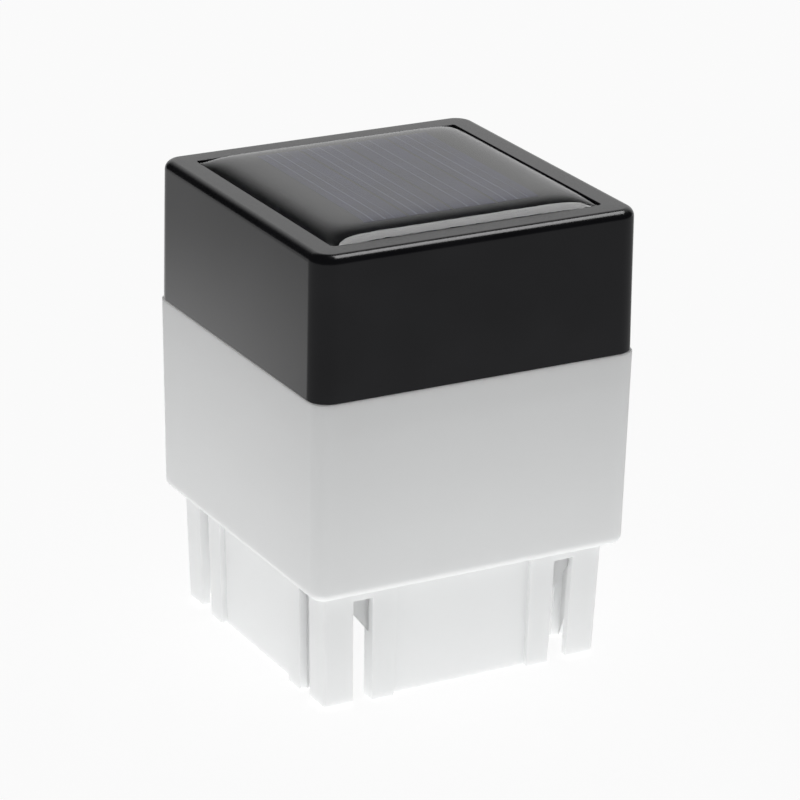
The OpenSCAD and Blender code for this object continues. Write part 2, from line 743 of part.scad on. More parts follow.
module tray_screws() {
    color([0.7, 0.71, 0.73]) for (x = [-1, 1], y = [-1, 1])
        translate([x * screw_place, y * screw_place, tray_z + screw_well - screw_head_h])
            difference() {
                pan_screw(screw_d, screw_l, screw_head_d, screw_head_h);
                cross_recess(screw_head_d, screw_head_h / 2);
            }
}

// ---- Circuit ----

module circuit_board() {
    color([0.08, 0.36, 0.2]) difference() {
        translate([-board_l / 2, board_y - board_w / 2, board_z]) cube([board_l, board_w, board_t]);
        for (x = [-1, 1]) {
            translate([x * post_x, board_y, board_z - cut])
                cylinder(h = board_t + 2 * cut, d = board_screw_d + 4 * screw_gap);
            for (s = [-1, 1]) translate([x * lamp_x + s * leg_pitch / 2, board_y, board_z - cut])
                cylinder(h = board_t + 2 * cut, d = leg_hole_d, $fn = 16);
        }
    }
}

module board_screws() {
    color([0.7, 0.71, 0.73]) for (x = [-1, 1])
        translate([x * post_x, board_y, board_top_z + board_screw_head_h]) mirror([0, 0, 1])
            difference() {
                pan_screw(board_screw_d, board_screw_l, board_screw_head_d, board_screw_head_h);
                cross_recess(board_screw_head_d, board_screw_head_h / 2);
            }
}

module controller_chip() {
    color([0.1, 0.1, 0.11]) translate([0, board_y, board_top_z]) {
        translate([-chip_l / 2, -chip_w / 2, pin_t / 2]) cube([chip_l, chip_w, chip_h]);
        for (i = [0:chip_pins - 1], s = [-1, 1])
            translate([(i - (chip_pins - 1) / 2) * pin_pitch - pin_w / 2,
                    s > 0 ? chip_w / 2 - pin_t : -chip_w / 2 - pin_l, 0])
                cube([pin_w, pin_l + pin_t, pin_t]);
    }
}

module choke_coil() {
    leg_reach = choke_l / 2 + choke_leg_x;
    color([0.2, 0.5, 0.35]) translate([0, board_y + choke_y, board_top_z + choke_lift]) {
        rotate([0, 90, 0]) rotate_extrude() {
            square([choke_d / 2 - choke_d / 10, choke_l / 2]);
            mirror([0, 1]) square([choke_d / 2 - choke_d / 10, choke_l / 2]);
            for (s = [-1, 1]) translate([0, s * choke_l / 3])
                translate([0, -choke_l / 6]) square([choke_d / 2, choke_l / 3]);
        }
        rotate([0, 90, 0]) cylinder(h = 2 * leg_reach, d = choke_leg_d, center = true);
        for (x = [-1, 1]) translate([x * leg_reach, 0, -choke_lift])
            cylinder(h = choke_lift, d = choke_leg_d);
        for (x = [-1, 1]) translate([x * leg_reach, 0, 0]) sphere(d = choke_leg_d);
    }
}

module lamps() {
    r = lamp_d / 2;
    dome_r = (r * r + lamp_dome_h * lamp_dome_h) / (2 * lamp_dome_h);
    color([0.9, 0.92, 0.85, 0.8]) for (x = [-1, 1]) translate([x * lamp_x, board_y, floor_z])
        union() {
            cylinder(h = lamp_flange_h, d = lamp_flange_d);
            translate([0, 0, -lamp_body_h]) cylinder(h = lamp_body_h + lamp_flange_h / 2, r = r);
            intersection() {
                translate([0, 0, -lamp_body_h - lamp_dome_h + dome_r]) sphere(dome_r);
                translate([0, 0, -lamp_body_h - lamp_dome_h])
                    cylinder(h = lamp_dome_h + lamp_body_h / 2, r = r);
            }
        }
}

module lamp_legs() {
    color([0.78, 0.78, 0.8]) for (x = [-1, 1], s = [-1, 1])
        translate([x * lamp_x + s * leg_pitch / 2, board_y, floor_z + lamp_flange_h])
            cylinder(h = board_gap - lamp_flange_h + board_t + leg_end, d = leg_d, $fn = 16);
}

// The can is open inside for the knob's foot, and slotted below for its stem
can_slot_l = knob_l + switch_travel + 2 * knob_gap;
can_room_l = knob_foot_l + switch_travel + 2 * knob_gap;
can_room_w = can_w - 2 * can_wall;
knob_foot_z = floor_z + can_wall + knob_gap / 2;

module switch_can() {
    color([0.72, 0.73, 0.74]) difference() {
        translate([-can_l / 2, board_y - can_w / 2, floor_z]) cube([can_l, can_w, board_gap]);
        translate([-can_room_l / 2, board_y - can_room_w / 2, floor_z + can_wall])
            cube([can_room_l, can_room_w, knob_foot_h + knob_gap]);
        translate([-can_slot_l / 2, board_y - knob_w / 2 - knob_gap, floor_z - cut])
            cube([can_slot_l, knob_w + 2 * knob_gap, can_wall + 2 * cut]);
    }
}

module switch_knob() {
    foot_w = can_room_w - 2 * knob_gap;
    stem_z = tray_z - knob_reach;
    ridge = knob_l / 9;
    color([0.05, 0.05, 0.05]) translate([-switch_travel / 2, board_y, 0]) {
        translate([-knob_foot_l / 2, -foot_w / 2, knob_foot_z])
            cube([knob_foot_l, foot_w, knob_foot_h]);
        difference() {
            translate([-knob_l / 2, -knob_w / 2, stem_z])
                cube([knob_l, knob_w, knob_foot_z - stem_z + knob_foot_h / 2]);
            for (x = [-1, 0, 1]) translate([x * 2.5 * ridge, 0, stem_z])
                cube([ridge, knob_w + cut, knob_reach / 3], center = true);
        }
    }
}

// ---- Contacts and leads ----

// Round plate with a solder tab that stands up through the bay's roof
module contact_blank(x) {
    translate([x, -battery_y, battery_z]) rotate([90, 0, 90]) linear_extrude(contact_t) {
        circle(d = contact_d);
        translate([-tab_w / 2, 0]) square([tab_w, contact_top_z - battery_z]);
    }
}

module contact_plate() {
    color([0.8, 0.8, 0.78]) contact_blank(contact_right_x);
}

module contact_spring() {
    color([0.8, 0.8, 0.78]) contact_blank(contact_left_x);
}

spring_from_x = contact_left_x + contact_t + spring_wire / 2;
spring_to_x = battery_start_x - contact_gap - spring_wire / 2;
turn_points = 10;
spring_points = [for (i = [0:spring_turns * turn_points])
    let (s = i / (spring_turns * turn_points), a = 360 * i / turn_points,
        r = spring_r_plate + (spring_r_cell - spring_r_plate) * s)
    [spring_from_x + (spring_to_x - spring_from_x) * s, -battery_y + r * cos(a),
        battery_z + r * sin(a)]];
spring_gap = min([for (i = [0:len(spring_points) - 1], j = [0:len(spring_points) - 1])
    if (j - i > turn_points / 2) norm(spring_points[i] - spring_points[j])]) - spring_wire;
echo(spring_gap = spring_gap);

module spring_coil() {
    color([0.75, 0.75, 0.74]) tube(spring_points, spring_wire / 2, 6, [1, 0, 0]);
}

module lead(route, side) {
    tube(smooth(route), lead_d / 2, lead_sides, side);
}

module red_leads() {
    color([0.75, 0.08, 0.06]) {
        lead(panel_red_route, [0, 1, 0]);
        lead(battery_red_route, [0, 1, 1]);
    }
}

module black_leads() {
    color([0.06, 0.06, 0.06]) {
        lead(panel_black_route, [0, 1, 0]);
        lead(battery_black_route, [0, 1, 1]);
    }
}

// ---- Battery and door ----

module battery_door() {
    core_l = bay_l - 2 * door_gap;
    core_w = 2 * bay_r - 2 * door_gap;
    tongue_x = door_l / 2 - tongue_l;
    color([0.12, 0.12, 0.13]) translate([0, -battery_y, tray_z]) {
        difference() {
            union() {
                translate([-door_l / 2, -door_w / 2, 0]) cube([door_l, door_w, lip_t]);
                translate([-core_l / 2, -core_w / 2, 0]) cube([core_l, core_w, tray_floor]);
            }
            for (s = [-1, 1]) translate([tongue_x, s * (tongue_w + slit_w) / 2 - slit_w / 2, -cut])
                cube([tongue_l + cut, slit_w, tray_floor + 2 * cut]);
            for (i = [0:groove_count - 1])
                translate([door_l / 2 - (i + 1) * 2 * groove_w, -tongue_w / 2, -cut])
                    cube([groove_w, tongue_w, cut + groove_d]);
        }
        for (x = [-1, 1]) translate([x * saddle_x - saddle_t / 2, 0, 0]) difference() {
            translate([0, -core_w / 2, tray_floor / 2])
                cube([saddle_t, core_w, tray_floor / 2 + saddle_h]);
            translate([-cut, 0, battery_z - tray_z]) rotate([0, 90, 0])
                cylinder(h = saddle_t + 2 * cut, d = battery_d + 2 * cradle_gap);
        }
    }
}

can_d = battery_d - 2 * sleeve_t;

module battery_can() {
    color([0.78, 0.78, 0.8]) translate([battery_start_x, -battery_y, battery_z])
        rotate([0, 90, 0]) {
            cylinder(h = battery_l - button_h, d = can_d);
            cylinder(h = battery_l, d = button_d);
        }
}

module battery_sleeve() {
    color([0.1, 0.45, 0.3]) translate([battery_start_x, -battery_y, battery_z])
        rotate([0, 90, 0]) difference() {
            translate([0, 0, sleeve_t]) cylinder(h = battery_l - button_h - sleeve_t, d = battery_d);
            translate([0, 0, -cut]) cylinder(h = battery_l + 2 * cut, d = can_d + 2 * sleeve_gap);
        }
}

diffuser();
cap_housing();
panel_tape();
panel_board();
solar_cells();
cell_ribbons();
panel_resin();
base_tray();
tray_screws();
circuit_board();
board_screws();
controller_chip();
choke_coil();
lamps();
lamp_legs();
switch_can();
switch_knob();
contact_plate();
contact_spring();
spring_coil();
red_leads();
black_leads();
battery_door();
battery_can();
battery_sleeve();
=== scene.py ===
import math

import bmesh
import bpy
from mathutils import Matrix, Vector


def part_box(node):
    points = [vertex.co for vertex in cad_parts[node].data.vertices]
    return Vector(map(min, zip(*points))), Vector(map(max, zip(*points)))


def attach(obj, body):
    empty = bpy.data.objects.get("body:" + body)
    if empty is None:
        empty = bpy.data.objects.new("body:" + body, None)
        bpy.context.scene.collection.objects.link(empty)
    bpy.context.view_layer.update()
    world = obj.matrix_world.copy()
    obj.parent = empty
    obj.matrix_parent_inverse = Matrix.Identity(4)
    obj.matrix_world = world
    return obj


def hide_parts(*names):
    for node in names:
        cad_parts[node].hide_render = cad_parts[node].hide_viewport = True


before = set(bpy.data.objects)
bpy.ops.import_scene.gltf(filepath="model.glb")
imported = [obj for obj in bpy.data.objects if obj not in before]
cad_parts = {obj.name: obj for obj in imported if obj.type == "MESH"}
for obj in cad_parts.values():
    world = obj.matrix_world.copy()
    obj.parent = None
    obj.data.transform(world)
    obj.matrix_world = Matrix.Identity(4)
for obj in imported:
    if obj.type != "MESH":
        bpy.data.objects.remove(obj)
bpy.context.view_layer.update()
print("frame loaded:", len(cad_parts), "nodes")

mm = 0.001
scene = bpy.context.scene


def nodeBox(name):
    # lowest and highest corner of a CAD node, in millimetres
    low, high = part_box(name)
    return low / mm, high / mm


# camera, light and floor

camera = {
    "place": (-289.56, -529.53, 273.4),   # mm
    "turn": -28.799, "tilt": 69.009, "roll": 1.086,
    "lens": 171.1, "sensor": 36,
}

studio = {
    "floorSize": 6000, "floorDrop": 0.2,    # mm, the drop from the part's foot
    "floorWhite": 0.90,                 # what the camera sees of the floor without its shadow
    "floorShadow": 0.16,                # share of the floor that the object can shade
    # the floor as a light table: its glow at distances in mm from the part's middle
    "tableReach": 200, "tableTop": 2,   # the farthest place and the strongest glow it can hold
    "table": ((0, 1.6), (13, 1.6), (21, 1.18), (34, 1.23), (75, 1.24), (90, 1.2), (150, 0.4)),
    "skyGlow": 0.45, "skySeen": 1,      # soft light from all round, and what is seen of it
    "backdropTurn": 56,                 # azimuth of the white backdrop's middle, from +X
    "backdropHalf": (14, 50),           # degrees to its sides, where it starts and ends to fade
    "backdropTop": (27, 50),            # degrees above the horizon, the same way
    "darkSky": 0.015,                   # what gloss mirrors beside the backdrop
    # what gloss mirrors of the floor: a sheet of paper whose light grows across it and falls
    # off away from the part, in mm
    "sheetTurn": 34, "sheetAcross": (-62, 15), "sheetBright": 1.27,
    "sheetAway": (145, 250), "sheetFall": (1.26, 0.45),
    "sheetEdge": (40, 110), "sheetDark": 0.24,
    "boxTurn": -1, "boxHeight": 63,     # where the soft box hangs, in degrees
    "boxAway": 1500, "boxSize": (860, 640), "boxRadiance": 5.8,
}


def linear(code):
    # sRGB hex to linear colour
    parts = [int(code[i:i + 2], 16) / 255 for i in (1, 3, 5)]
    return [p / 12.92 if p <= 0.04045 else ((p + 0.055) / 1.055) ** 2.4 for p in parts] + [1.0]


def addNode(tree, kind, inputs=None, **settings):
    # adds a node, sets its own settings, and sets or links its inputs; a node given as an
    # input stands for its first output
    node = tree.nodes.new(kind)
    for key, value in settings.items():
        setattr(node, key, value)
    for key, value in (inputs or {}).items():
        if isinstance(value, bpy.types.Node):
            value = value.outputs[0]
        if isinstance(value, bpy.types.NodeSocket):
            tree.links.new(value, node.inputs[key])
        else:
            node.inputs[key].default_value = value
    return node


def direction(turn, height=0):
    turn, height = math.radians(turn), math.radians(height)
    return Vector((math.cos(turn) * math.cos(height), math.sin(turn) * math.cos(height),
                   math.sin(height)))


def byRay(tree, soft, mirrored, seen):
    # one strength for soft light, one for what gloss mirrors and one for what is seen
    rays = addNode(tree, "ShaderNodeLightPath").outputs
    gloss = addNode(tree, "ShaderNodeMix",
                    {"Factor": rays["Is Glossy Ray"], "A": soft, "B": mirrored})
    direct = addNode(tree, "ShaderNodeMath",
                     {0: rays["Is Camera Ray"], 1: rays["Is Transmission Ray"]},
                     operation="MAXIMUM")
    return addNode(tree, "ShaderNodeMix", {"Factor": direct, "A": gloss, "B": seen})


def makeCamera(c):
    data = bpy.data.cameras.new("camera")
    data.lens, data.sensor_width = c["lens"], c["sensor"]
    holder = bpy.data.objects.new("camera", data)
    scene.collection.objects.link(holder)
    turn = (Matrix.Rotation(math.radians(c["turn"]), 4, "Z")
            @ Matrix.Rotation(math.radians(c["tilt"]), 4, "X")
            @ Matrix.Rotation(math.radians(c["roll"]), 4, "Z"))
    holder.matrix_world = Matrix.Translation(Vector(c["place"]) * mm) @ turn
    scene.camera = holder


def makeWorld(s):
    world = bpy.data.worlds.new("studio")
    scene.world = world
    world.use_nodes = True
    tree = world.node_tree
    tree.nodes.clear()
    way = addNode(tree, "ShaderNodeTexCoord").outputs["Generated"]
    height = addNode(tree, "ShaderNodeSeparateXYZ", {0: way}).outputs["Z"]
    flat = addNode(tree, "ShaderNodeVectorMath", {0: way, 1: (1, 1, 0)}, operation="MULTIPLY")
    level = addNode(tree, "ShaderNodeVectorMath", {0: flat}, operation="NORMALIZE")
    facing = addNode(tree, "ShaderNodeVectorMath", {0: level, 1: direction(s["backdropTurn"])},
                     operation="DOT_PRODUCT")
    near, far = (math.cos(math.radians(a)) for a in s["backdropHalf"])
    sides = addNode(tree, "ShaderNodeMapRange",
                    {"Value": facing.outputs["Value"], "From Min": far, "From Max": near},
                    interpolation_type="SMOOTHSTEP")
    low, high = (math.sin(math.radians(a)) for a in s["backdropTop"])
    top = addNode(tree, "ShaderNodeMapRange",
                  {"Value": height, "From Min": low, "From Max": high, "To Min": 1, "To Max": 0})
    backdrop = addNode(tree, "ShaderNodeMath", {0: sides, 1: top}, operation="MULTIPLY")
    glossy = addNode(tree, "ShaderNodeMapRange",
                     {"Value": backdrop, "To Min": s["darkSky"], "To Max": 1})
    strength = byRay(tree, s["skyGlow"], glossy, s["skySeen"])
    back = addNode(tree, "ShaderNodeBackground", {"Strength": strength})
    addNode(tree, "ShaderNodeOutputWorld", {"Surface": back})


def makeFloor(s):
    material = bpy.data.materials.new("matt_white_paper")
    material.use_nodes = True
    tree = material.node_tree
    tree.nodes.clear()
    place = addNode(tree, "ShaderNodeTexCoord").outputs["Object"]

    # the sheet that gloss mirrors
    across = addNode(tree, "ShaderNodeVectorMath", {0: place, 1: direction(s["sheetTurn"])},
                     operation="DOT_PRODUCT")
    away = addNode(tree, "ShaderNodeVectorMath", {0: place}, operation="LENGTH")
    side = addNode(tree, "ShaderNodeSeparateXYZ", {0: place})
    grows = addNode(tree, "ShaderNodeMapRange",
                    {"Value": across.outputs["Value"], "From Min": s["sheetAcross"][0] * mm,
                     "From Max": s["sheetAcross"][1] * mm, "To Max": s["sheetBright"]})
    falls = addNode(tree, "ShaderNodeMapRange",
                    {"Value": away.outputs["Value"], "From Min": s["sheetAway"][0] * mm,
                     "From Max": s["sheetAway"][1] * mm, "To Min": s["sheetFall"][0],
                     "To Max": s["sheetFall"][1]})
    ends = addNode(tree, "ShaderNodeMapRange",
                   {"Value": side.outputs["Y"], "From Min": s["sheetEdge"][0] * mm,
                    "From Max": s["sheetEdge"][1] * mm}, interpolation_type="SMOOTHSTEP")
    sheet = grows
    for change, operation in ((falls, "MULTIPLY"), (ends, "MULTIPLY"), (s["sheetDark"], "MAXIMUM")):
        sheet = addNode(tree, "ShaderNodeMath", {0: sheet, 1: change}, operation=operation)

    # the light table
    share = addNode(tree, "ShaderNodeMapRange",
                    {"Value": away.outputs["Value"], "From Max": s["tableReach"] * mm})
    ramp = addNode(tree, "ShaderNodeValToRGB", {"Fac": share})
    points = ramp.color_ramp.elements
    while len(points) < len(s["table"]):
        points.new(0.5)
    for point, (distance, glow) in zip(points, s["table"]):
        point.position = distance / s["tableReach"]
        point.color = [glow / s["tableTop"]] * 3 + [1]
    table = addNode(tree, "ShaderNodeMath", {0: ramp.outputs["Color"], 1: s["tableTop"]},
                    operation="MULTIPLY")

    # both glow, a share of the floor takes shadow, and from below it isn't there
    strength = byRay(tree, table, sheet, s["floorWhite"])
    glow = addNode(tree, "ShaderNodeEmission", {"Strength": strength})
    shade = addNode(tree, "ShaderNodeBsdfDiffuse", {"Color": [s["floorShadow"]] * 3 + [1]})
    both = addNode(tree, "ShaderNodeAddShader", {0: glow, 1: shade})
    clear = addNode(tree, "ShaderNodeBsdfTransparent")
    under = addNode(tree, "ShaderNodeNewGeometry").outputs["Backfacing"]
    mix = addNode(tree, "ShaderNodeMixShader", {0: under, 1: both, 2: clear})
    addNode(tree, "ShaderNodeOutputMaterial", {"Surface": mix})

    half, drop = s["floorSize"] / 2 * mm, -s["floorDrop"] * mm
    mesh = bpy.data.meshes.new("floor")
    mesh.from_pydata([(-half, -half, drop), (half, -half, drop), (half, half, drop),
                      (-half, half, drop)], [], [(0, 1, 2, 3)])
    mesh.materials.append(material)
    floor = bpy.data.objects.new("floor", mesh)
    scene.collection.objects.link(floor)


def makeSoftBox(s):
    # a soft box that shows only as the long highlights on the dome and the rim
    way = direction(s["boxTurn"], s["boxHeight"])
    light = bpy.data.lights.new("soft_box", "AREA")
    light.shape = "RECTANGLE"
    light.size, light.size_y = (side * mm for side in s["boxSize"])
    light.energy = s["boxRadiance"] * light.size * light.size_y * math.pi
    holder = bpy.data.objects.new("soft_box", light)
    scene.collection.objects.link(holder)
    turn = way.to_track_quat("Z", "Y").to_matrix().to_4x4()
    holder.matrix_world = Matrix.Translation(way * s["boxAway"] * mm) @ turn
    holder.visible_camera = False
    holder.visible_diffuse = False
    holder.visible_transmission = False


makeCamera(camera)
makeWorld(studio)
makeFloor(studio)
makeSoftBox(studio)
scene.view_settings.view_transform = "Standard"
print("stage ready")


# materials

surface = {
    "reliefSpan": (0.3, 0.7), "toneSpan": (0.35, 0.65),     # noise values taken as its ends
    "toneDetail": 2,
    "waveLength": 0.314,    # of a wave texture whose scale is 1
    "clothStrength": 0.5, "clothDepth": 0.01,
    "bandSpan": (-30, 30),  # mm along X
}


def newSurface(name, colour, inputs):
    # a Principled surface; returns the material, its tree, its shader and its Object coordinates
    material = bpy.data.materials.new(name)
    material.use_nodes = True
    tree = material.node_tree
    shader = tree.nodes["Principled BSDF"]
    shader.inputs["Base Color"].default_value = linear(colour)
    for key, value in inputs.items():
        shader.inputs[key].default_value = value
    place = addNode(tree, "ShaderNodeTexCoord").outputs["Object"]
    return material, tree, shader, place


def grain(tree, shader, place, size, depth, rough, detail=3):
    # surface relief of a given size and depth in mm, and the roughness that goes with it
    noise = addNode(tree, "ShaderNodeTexNoise",
                    {"Vector": place, "Scale": 1 / (size * mm), "Detail": detail})
    relief = addNode(tree, "ShaderNodeBump",
                     {"Height": noise.outputs["Fac"], "Strength": 1, "Distance": depth * mm})
    tree.links.new(relief.outputs[0], shader.inputs["Normal"])
    low, high = surface["reliefSpan"]
    gloss = addNode(tree, "ShaderNodeMapRange",
                    {"Value": noise.outputs["Fac"], "From Min": low, "From Max": high,
                     "To Min": rough[0], "To Max": rough[1]})
    tree.links.new(gloss.outputs[0], shader.inputs["Roughness"])


def blend(tree, shader, share, dark, light):
    # colour between two tones by a share
    mix = addNode(tree, "ShaderNodeMix", {"Factor": share, "A": linear(dark), "B": linear(light)},
                  data_type="RGBA")
    tree.links.new(mix.outputs["Result"], shader.inputs["Base Color"])


def newPaint(name, colour, inputs, relief=(), tone=()):
    # a plain material: relief holds what grain() takes, tone a patch's size in mm and two tones
    material, tree, shader, place = newSurface(name, colour, inputs)
    if relief:
        grain(tree, shader, place, *relief)
    if tone:
        size, dark, light = tone
        low, high = surface["toneSpan"]
        noise = addNode(tree, "ShaderNodeTexNoise",
                        {"Vector": place, "Scale": 1 / (size * mm),
                         "Detail": surface["toneDetail"]})
        share = addNode(tree, "ShaderNodeMapRange",
                        {"Value": noise.outputs["Fac"], "From Min": low, "From Max": high})
        blend(tree, shader, share, dark, light)
    return material


def woven(name, dark, light, thread, rough):
    # epoxy glass laminate: its cloth, a plain weave with threads some mm apart, shows faintly
    material, tree, shader, place = newSurface(name, dark, {"IOR": 1.55, "Roughness": rough})
    scale = surface["waveLength"] / (thread * mm)
    waves = [addNode(tree, "ShaderNodeTexWave", {"Vector": place, "Scale": scale},
                     bands_direction=axis, wave_profile="SIN").outputs["Fac"]
             for axis in ("X", "Y")]
    cloth = addNode(tree, "ShaderNodeMath", {0: waves[0], 1: waves[1]}, operation="MULTIPLY")
    blend(tree, shader, cloth, dark, light)
    relief = addNode(tree, "ShaderNodeBump",
                     {"Height": cloth, "Strength": surface["clothStrength"],
                      "Distance": surface["clothDepth"] * mm})
    tree.links.new(relief.outputs[0], shader.inputs["Normal"])
    return material


def banded(name, places, colours, relief):
    # printed or painted bands across X, each ending at its place in mm
    material, tree, shader, place = newSurface(name, colours[0], {"IOR": 1.5})
    along = addNode(tree, "ShaderNodeSeparateXYZ", {0: place}).outputs["X"]
    low, high = surface["bandSpan"]
    share = addNode(tree, "ShaderNodeMapRange",
                    {"Value": along, "From Min": low * mm, "From Max": high * mm})
    ramp = addNode(tree, "ShaderNodeValToRGB", {"Fac": share})
    ramp.color_ramp.interpolation = "CONSTANT"
    bands = ramp.color_ramp.elements
    while len(bands) < len(colours):
        bands.new(0.5)
    for band, start, colour in zip(bands, (low,) + places, colours):
        band.position = (start - low) / (high - low)
        band.color = linear(colour)
    tree.links.new(ramp.outputs["Color"], shader.inputs["Base Color"])
    grain(tree, shader, place, *relief)
    return material


paints = {
    # moulded ABS: a satin polish with a faint orange peel that softens what it mirrors
    "abs": newPaint("moulded_black_abs", "#17171a", {"IOR": 1.5}, (0.4, 0.0016, (0.16, 0.25)),
                    (14, "#141417", "#1b1b1e")),
    # milky all through, so light spreads in the wall and dark parts behind it show as soft shades
    "frosted": newPaint("frosted_polycarbonate", "#f2f3f3",
                        {"IOR": 1.5, "Specular IOR Level": 0.25, "Subsurface Weight": 1,
                         "Subsurface Scale": 1.6 * mm, "Subsurface Radius": (1, 1, 1),
                         "Subsurface Anisotropy": 0.3}, (0.35, 0.004, (0.42, 0.56))),
    # poured and cured, with the gloss of a lens
    "resin": newPaint("clear_epoxy", "#f4f5f6", {"IOR": 1.5, "Transmission Weight": 1},
                      (9, 0.01, (0.015, 0.03), 1)),
    # near black with a blue tone from its nitride coat
    "silicon": newPaint("silicon_cell", "#1f2348", {"Roughness": 0.35}, (),
                        (7, "#1c1f40", "#24284f")),
    # dull silver, its colour tinted with a painted blue reflection of the cell beside it
    "ribbon": newPaint("tinned_copper", "#62667a", {"Metallic": 0.6}, (0.4, 0.002, (0.4, 0.6))),
    # matt, with open pores along its cut sides
    "foam": newPaint("acrylic_foam", "#1c1c1c", {"IOR": 1.45}, (0.3, 0.05, (0.85, 1), 4),
                     (0.5, "#141414", "#262626")),
    # black epoxy glass of the panel, 0.5 mm cloth
    "laminate": woven("black_epoxy_glass", "#0b0c0c", "#121413", 0.5, 0.4),
    # green solder mask over glass laminate, lighter where copper lies beneath it
    "mask": woven("green_solder_mask", "#0d4a26", "#115a2e", 0.6, 0.32),
    "track": newPaint("solder_mask_over_copper", "#2a8246", {}, (0.8, 0.004, (0.26, 0.36)),
                      (9.6, "#2a8246", "#2f8f4e")),
    # filled epoxy of a chip: matt, with the fine sandblast of its mould
    "chip": newPaint("moulded_epoxy", "#161617", {}, (0.12, 0.006, (0.55, 0.72)),
                     (1.44, "#161617", "#1d1d1f")),
    # nylon knob: satin and slightly waxy
    "nylon": newPaint("moulded_nylon", "#0d0d0e", {}, (0.3, 0.004, (0.42, 0.55)),
                      (3.6, "#0d0d0e", "#131314")),
    # soft PVC round the leads: satin, with the faint waves of extrusion
    "red": newPaint("red_pvc", "#a3120e", {"IOR": 1.54}, (0.6, 0.006, (0.34, 0.46)),
                    (7.2, "#a3120e", "#b51a14")),
    "black": newPaint("black_pvc", "#0c0c0d", {"IOR": 1.54}, (0.6, 0.006, (0.34, 0.46)),
                      (7.2, "#0c0c0d", "#141415")),
    # phosphor fill over a lamp's die: matt yellow powder in resin
    "phosphor": newPaint("phosphor_fill", "#d9b52c", {}, (0.1, 0.004, (0.5, 0.7)),
                         (1.2, "#d9b52c", "#e6c84a")),
    # zinc plate: bluish and softly cloudy
    "zinc": newPaint("zinc_plated_steel", "#aeb3b8", {"Metallic": 1},
                     (0.5, 0.002, (0.24, 0.38)), (2.5, "#aeb3b8", "#c3c6c9")),
    # nickel plate: warmer and brighter
    "nickel": newPaint("nickel_plated_steel", "#c2beb4", {"Metallic": 1},
                       (0.6, 0.0015, (0.16, 0.26)), (3, "#c2beb4", "#d2cfc6")),
    # tinned wire and pins: pale and a little dull
    "tinned": newPaint("tinned_wire", "#b9bbbf", {"Metallic": 1}, (0.3, 0.002, (0.26, 0.4)),
                       (1.5, "#b9bbbf", "#cdced1")),
    # solder: bright where it ran, dull where it froze
    "solder": newPaint("solder", "#a8a9ac", {"Metallic": 1}, (0.5, 0.01, (0.2, 0.45)),
                       (2.5, "#a8a9ac", "#c8c9cb")),
    # lacquered choke: pale green with value bands
    "lacquer": banded("green_lacquer", (-2.75, -1.95, -0.9, -0.15, 0.6, 1.35, 2.1, 2.75),
                      ("#3f8f6d", "#5b3a1c", "#3f8f6d", "#121212", "#3f8f6d", "#5b3a1c",
                       "#3f8f6d", "#b7b9bb", "#3f8f6d"), (1.2, 0.01, (0.22, 0.34))),
    # printed shrink film: green with a pale band at the button's end
    "sleeve": banded("printed_shrink_film", (8.6, 9.4, 10.6),
                     ("#15603c", "#cfd2d0", "#0f4a2e", "#cfd2d0"), (1.2, 0.01, (0.14, 0.24))),
    # water-clear epoxy of a 5 mm lamp
    "lamp": newPaint("water_clear_epoxy", "#fafaf6", {"IOR": 1.53, "Transmission Weight": 1},
                     (2, 0.004, (0.02, 0.05), 1)),
}
print("materials ready")


# mesh helpers, all in millimetres

mesher = {
    "leastCorner": 0.05,            # so that no rounded corner closes up
    "weld": 1e-5, "nodeWeld": 0.001,        # vertices nearer than this become one
    "flatTo": 1,                    # degrees between triangles that are one flat face
    # degrees between faces that are shaded as one; a drawn piece not named here stays flat
    "smoothTo": {"resinDome": 50, "trayScrews": 40, "boardScrews": 40, "lampLenses": 40,
                 "batteryCan": 30, "batterySleeve": 50, "contactCoil": 60, "chokeBody": 50,
                 "chokeWires": 60, "solderJoints": 60, "redLeads": 60, "blackLeads": 60},
}


def ringPoints(half, radius, height, steps=14):
    # closed ring of a square with rounded corners, anticlockwise seen from above
    points = []
    for corner in range(4):
        x = (1, -1, -1, 1)[corner] * (half - radius)
        y = (1, 1, -1, -1)[corner] * (half - radius)
        for i in range(steps + 1):
            angle = math.radians(90 * (corner + i / steps))
            points.append((x + radius * math.cos(angle), y + radius * math.sin(angle), height))
    return points


def filletPath(corners, closed, steps=7):
    # rounds the corners of a profile; each corner is (half width, height, fillet, corner radius)
    path = []
    count = len(corners)
    for i, (width, height, fillet, radius) in enumerate(corners):
        here = Vector((width, height))
        if fillet == 0 or (not closed and i in (0, count - 1)):
            path.append((width, height, radius))
            continue
        before = Vector(corners[i - 1][:2])
        after = Vector(corners[(i + 1) % count][:2])
        inward, outward = (here - before).normalized(), (after - here).normalized()
        turn = inward.angle(outward)
        start = here - inward * fillet * math.tan(turn / 2)
        side = Vector((-inward.y, inward.x))
        if side.dot(outward) < 0:
            side = -side
        centre = start + side * fillet
        for k in range(steps + 1):
            part = turn * k / steps
            point = centre - side * fillet * math.cos(part) + inward * fillet * math.sin(part)
            corner = max(radius + point.x - width, mesher["leastCorner"])
            path.append((point.x, point.y, corner))
    return path


def skin(bm, rings, closed=False):
    # faces from each ring of points to the next, with both ends closed unless the last ring
    # meets the first
    rows = [[bm.verts.new(point) for point in ring] for ring in rings]
    for low, high in zip(rows, rows[1:] + (rows[:1] if closed else [])):
        for j in range(len(low)):
            k = (j + 1) % len(low)
            bm.faces.new((low[j], low[k], high[k], high[j]))
    if not closed:
        bm.faces.new(list(reversed(rows[0])))
        bm.faces.new(rows[-1])


def loft(bm, path, closed=False):
    skin(bm, [ringPoints(width, radius, height) for width, height, radius in path], closed)


def prism(bm, outline, low, high, growth=1.0):
    # closed prism over a flat outline, its upper end scaled by growth
    skin(bm, [[(x * share, y * share, height) for x, y in outline]
              for height, share in ((low, 1), (high, growth))])


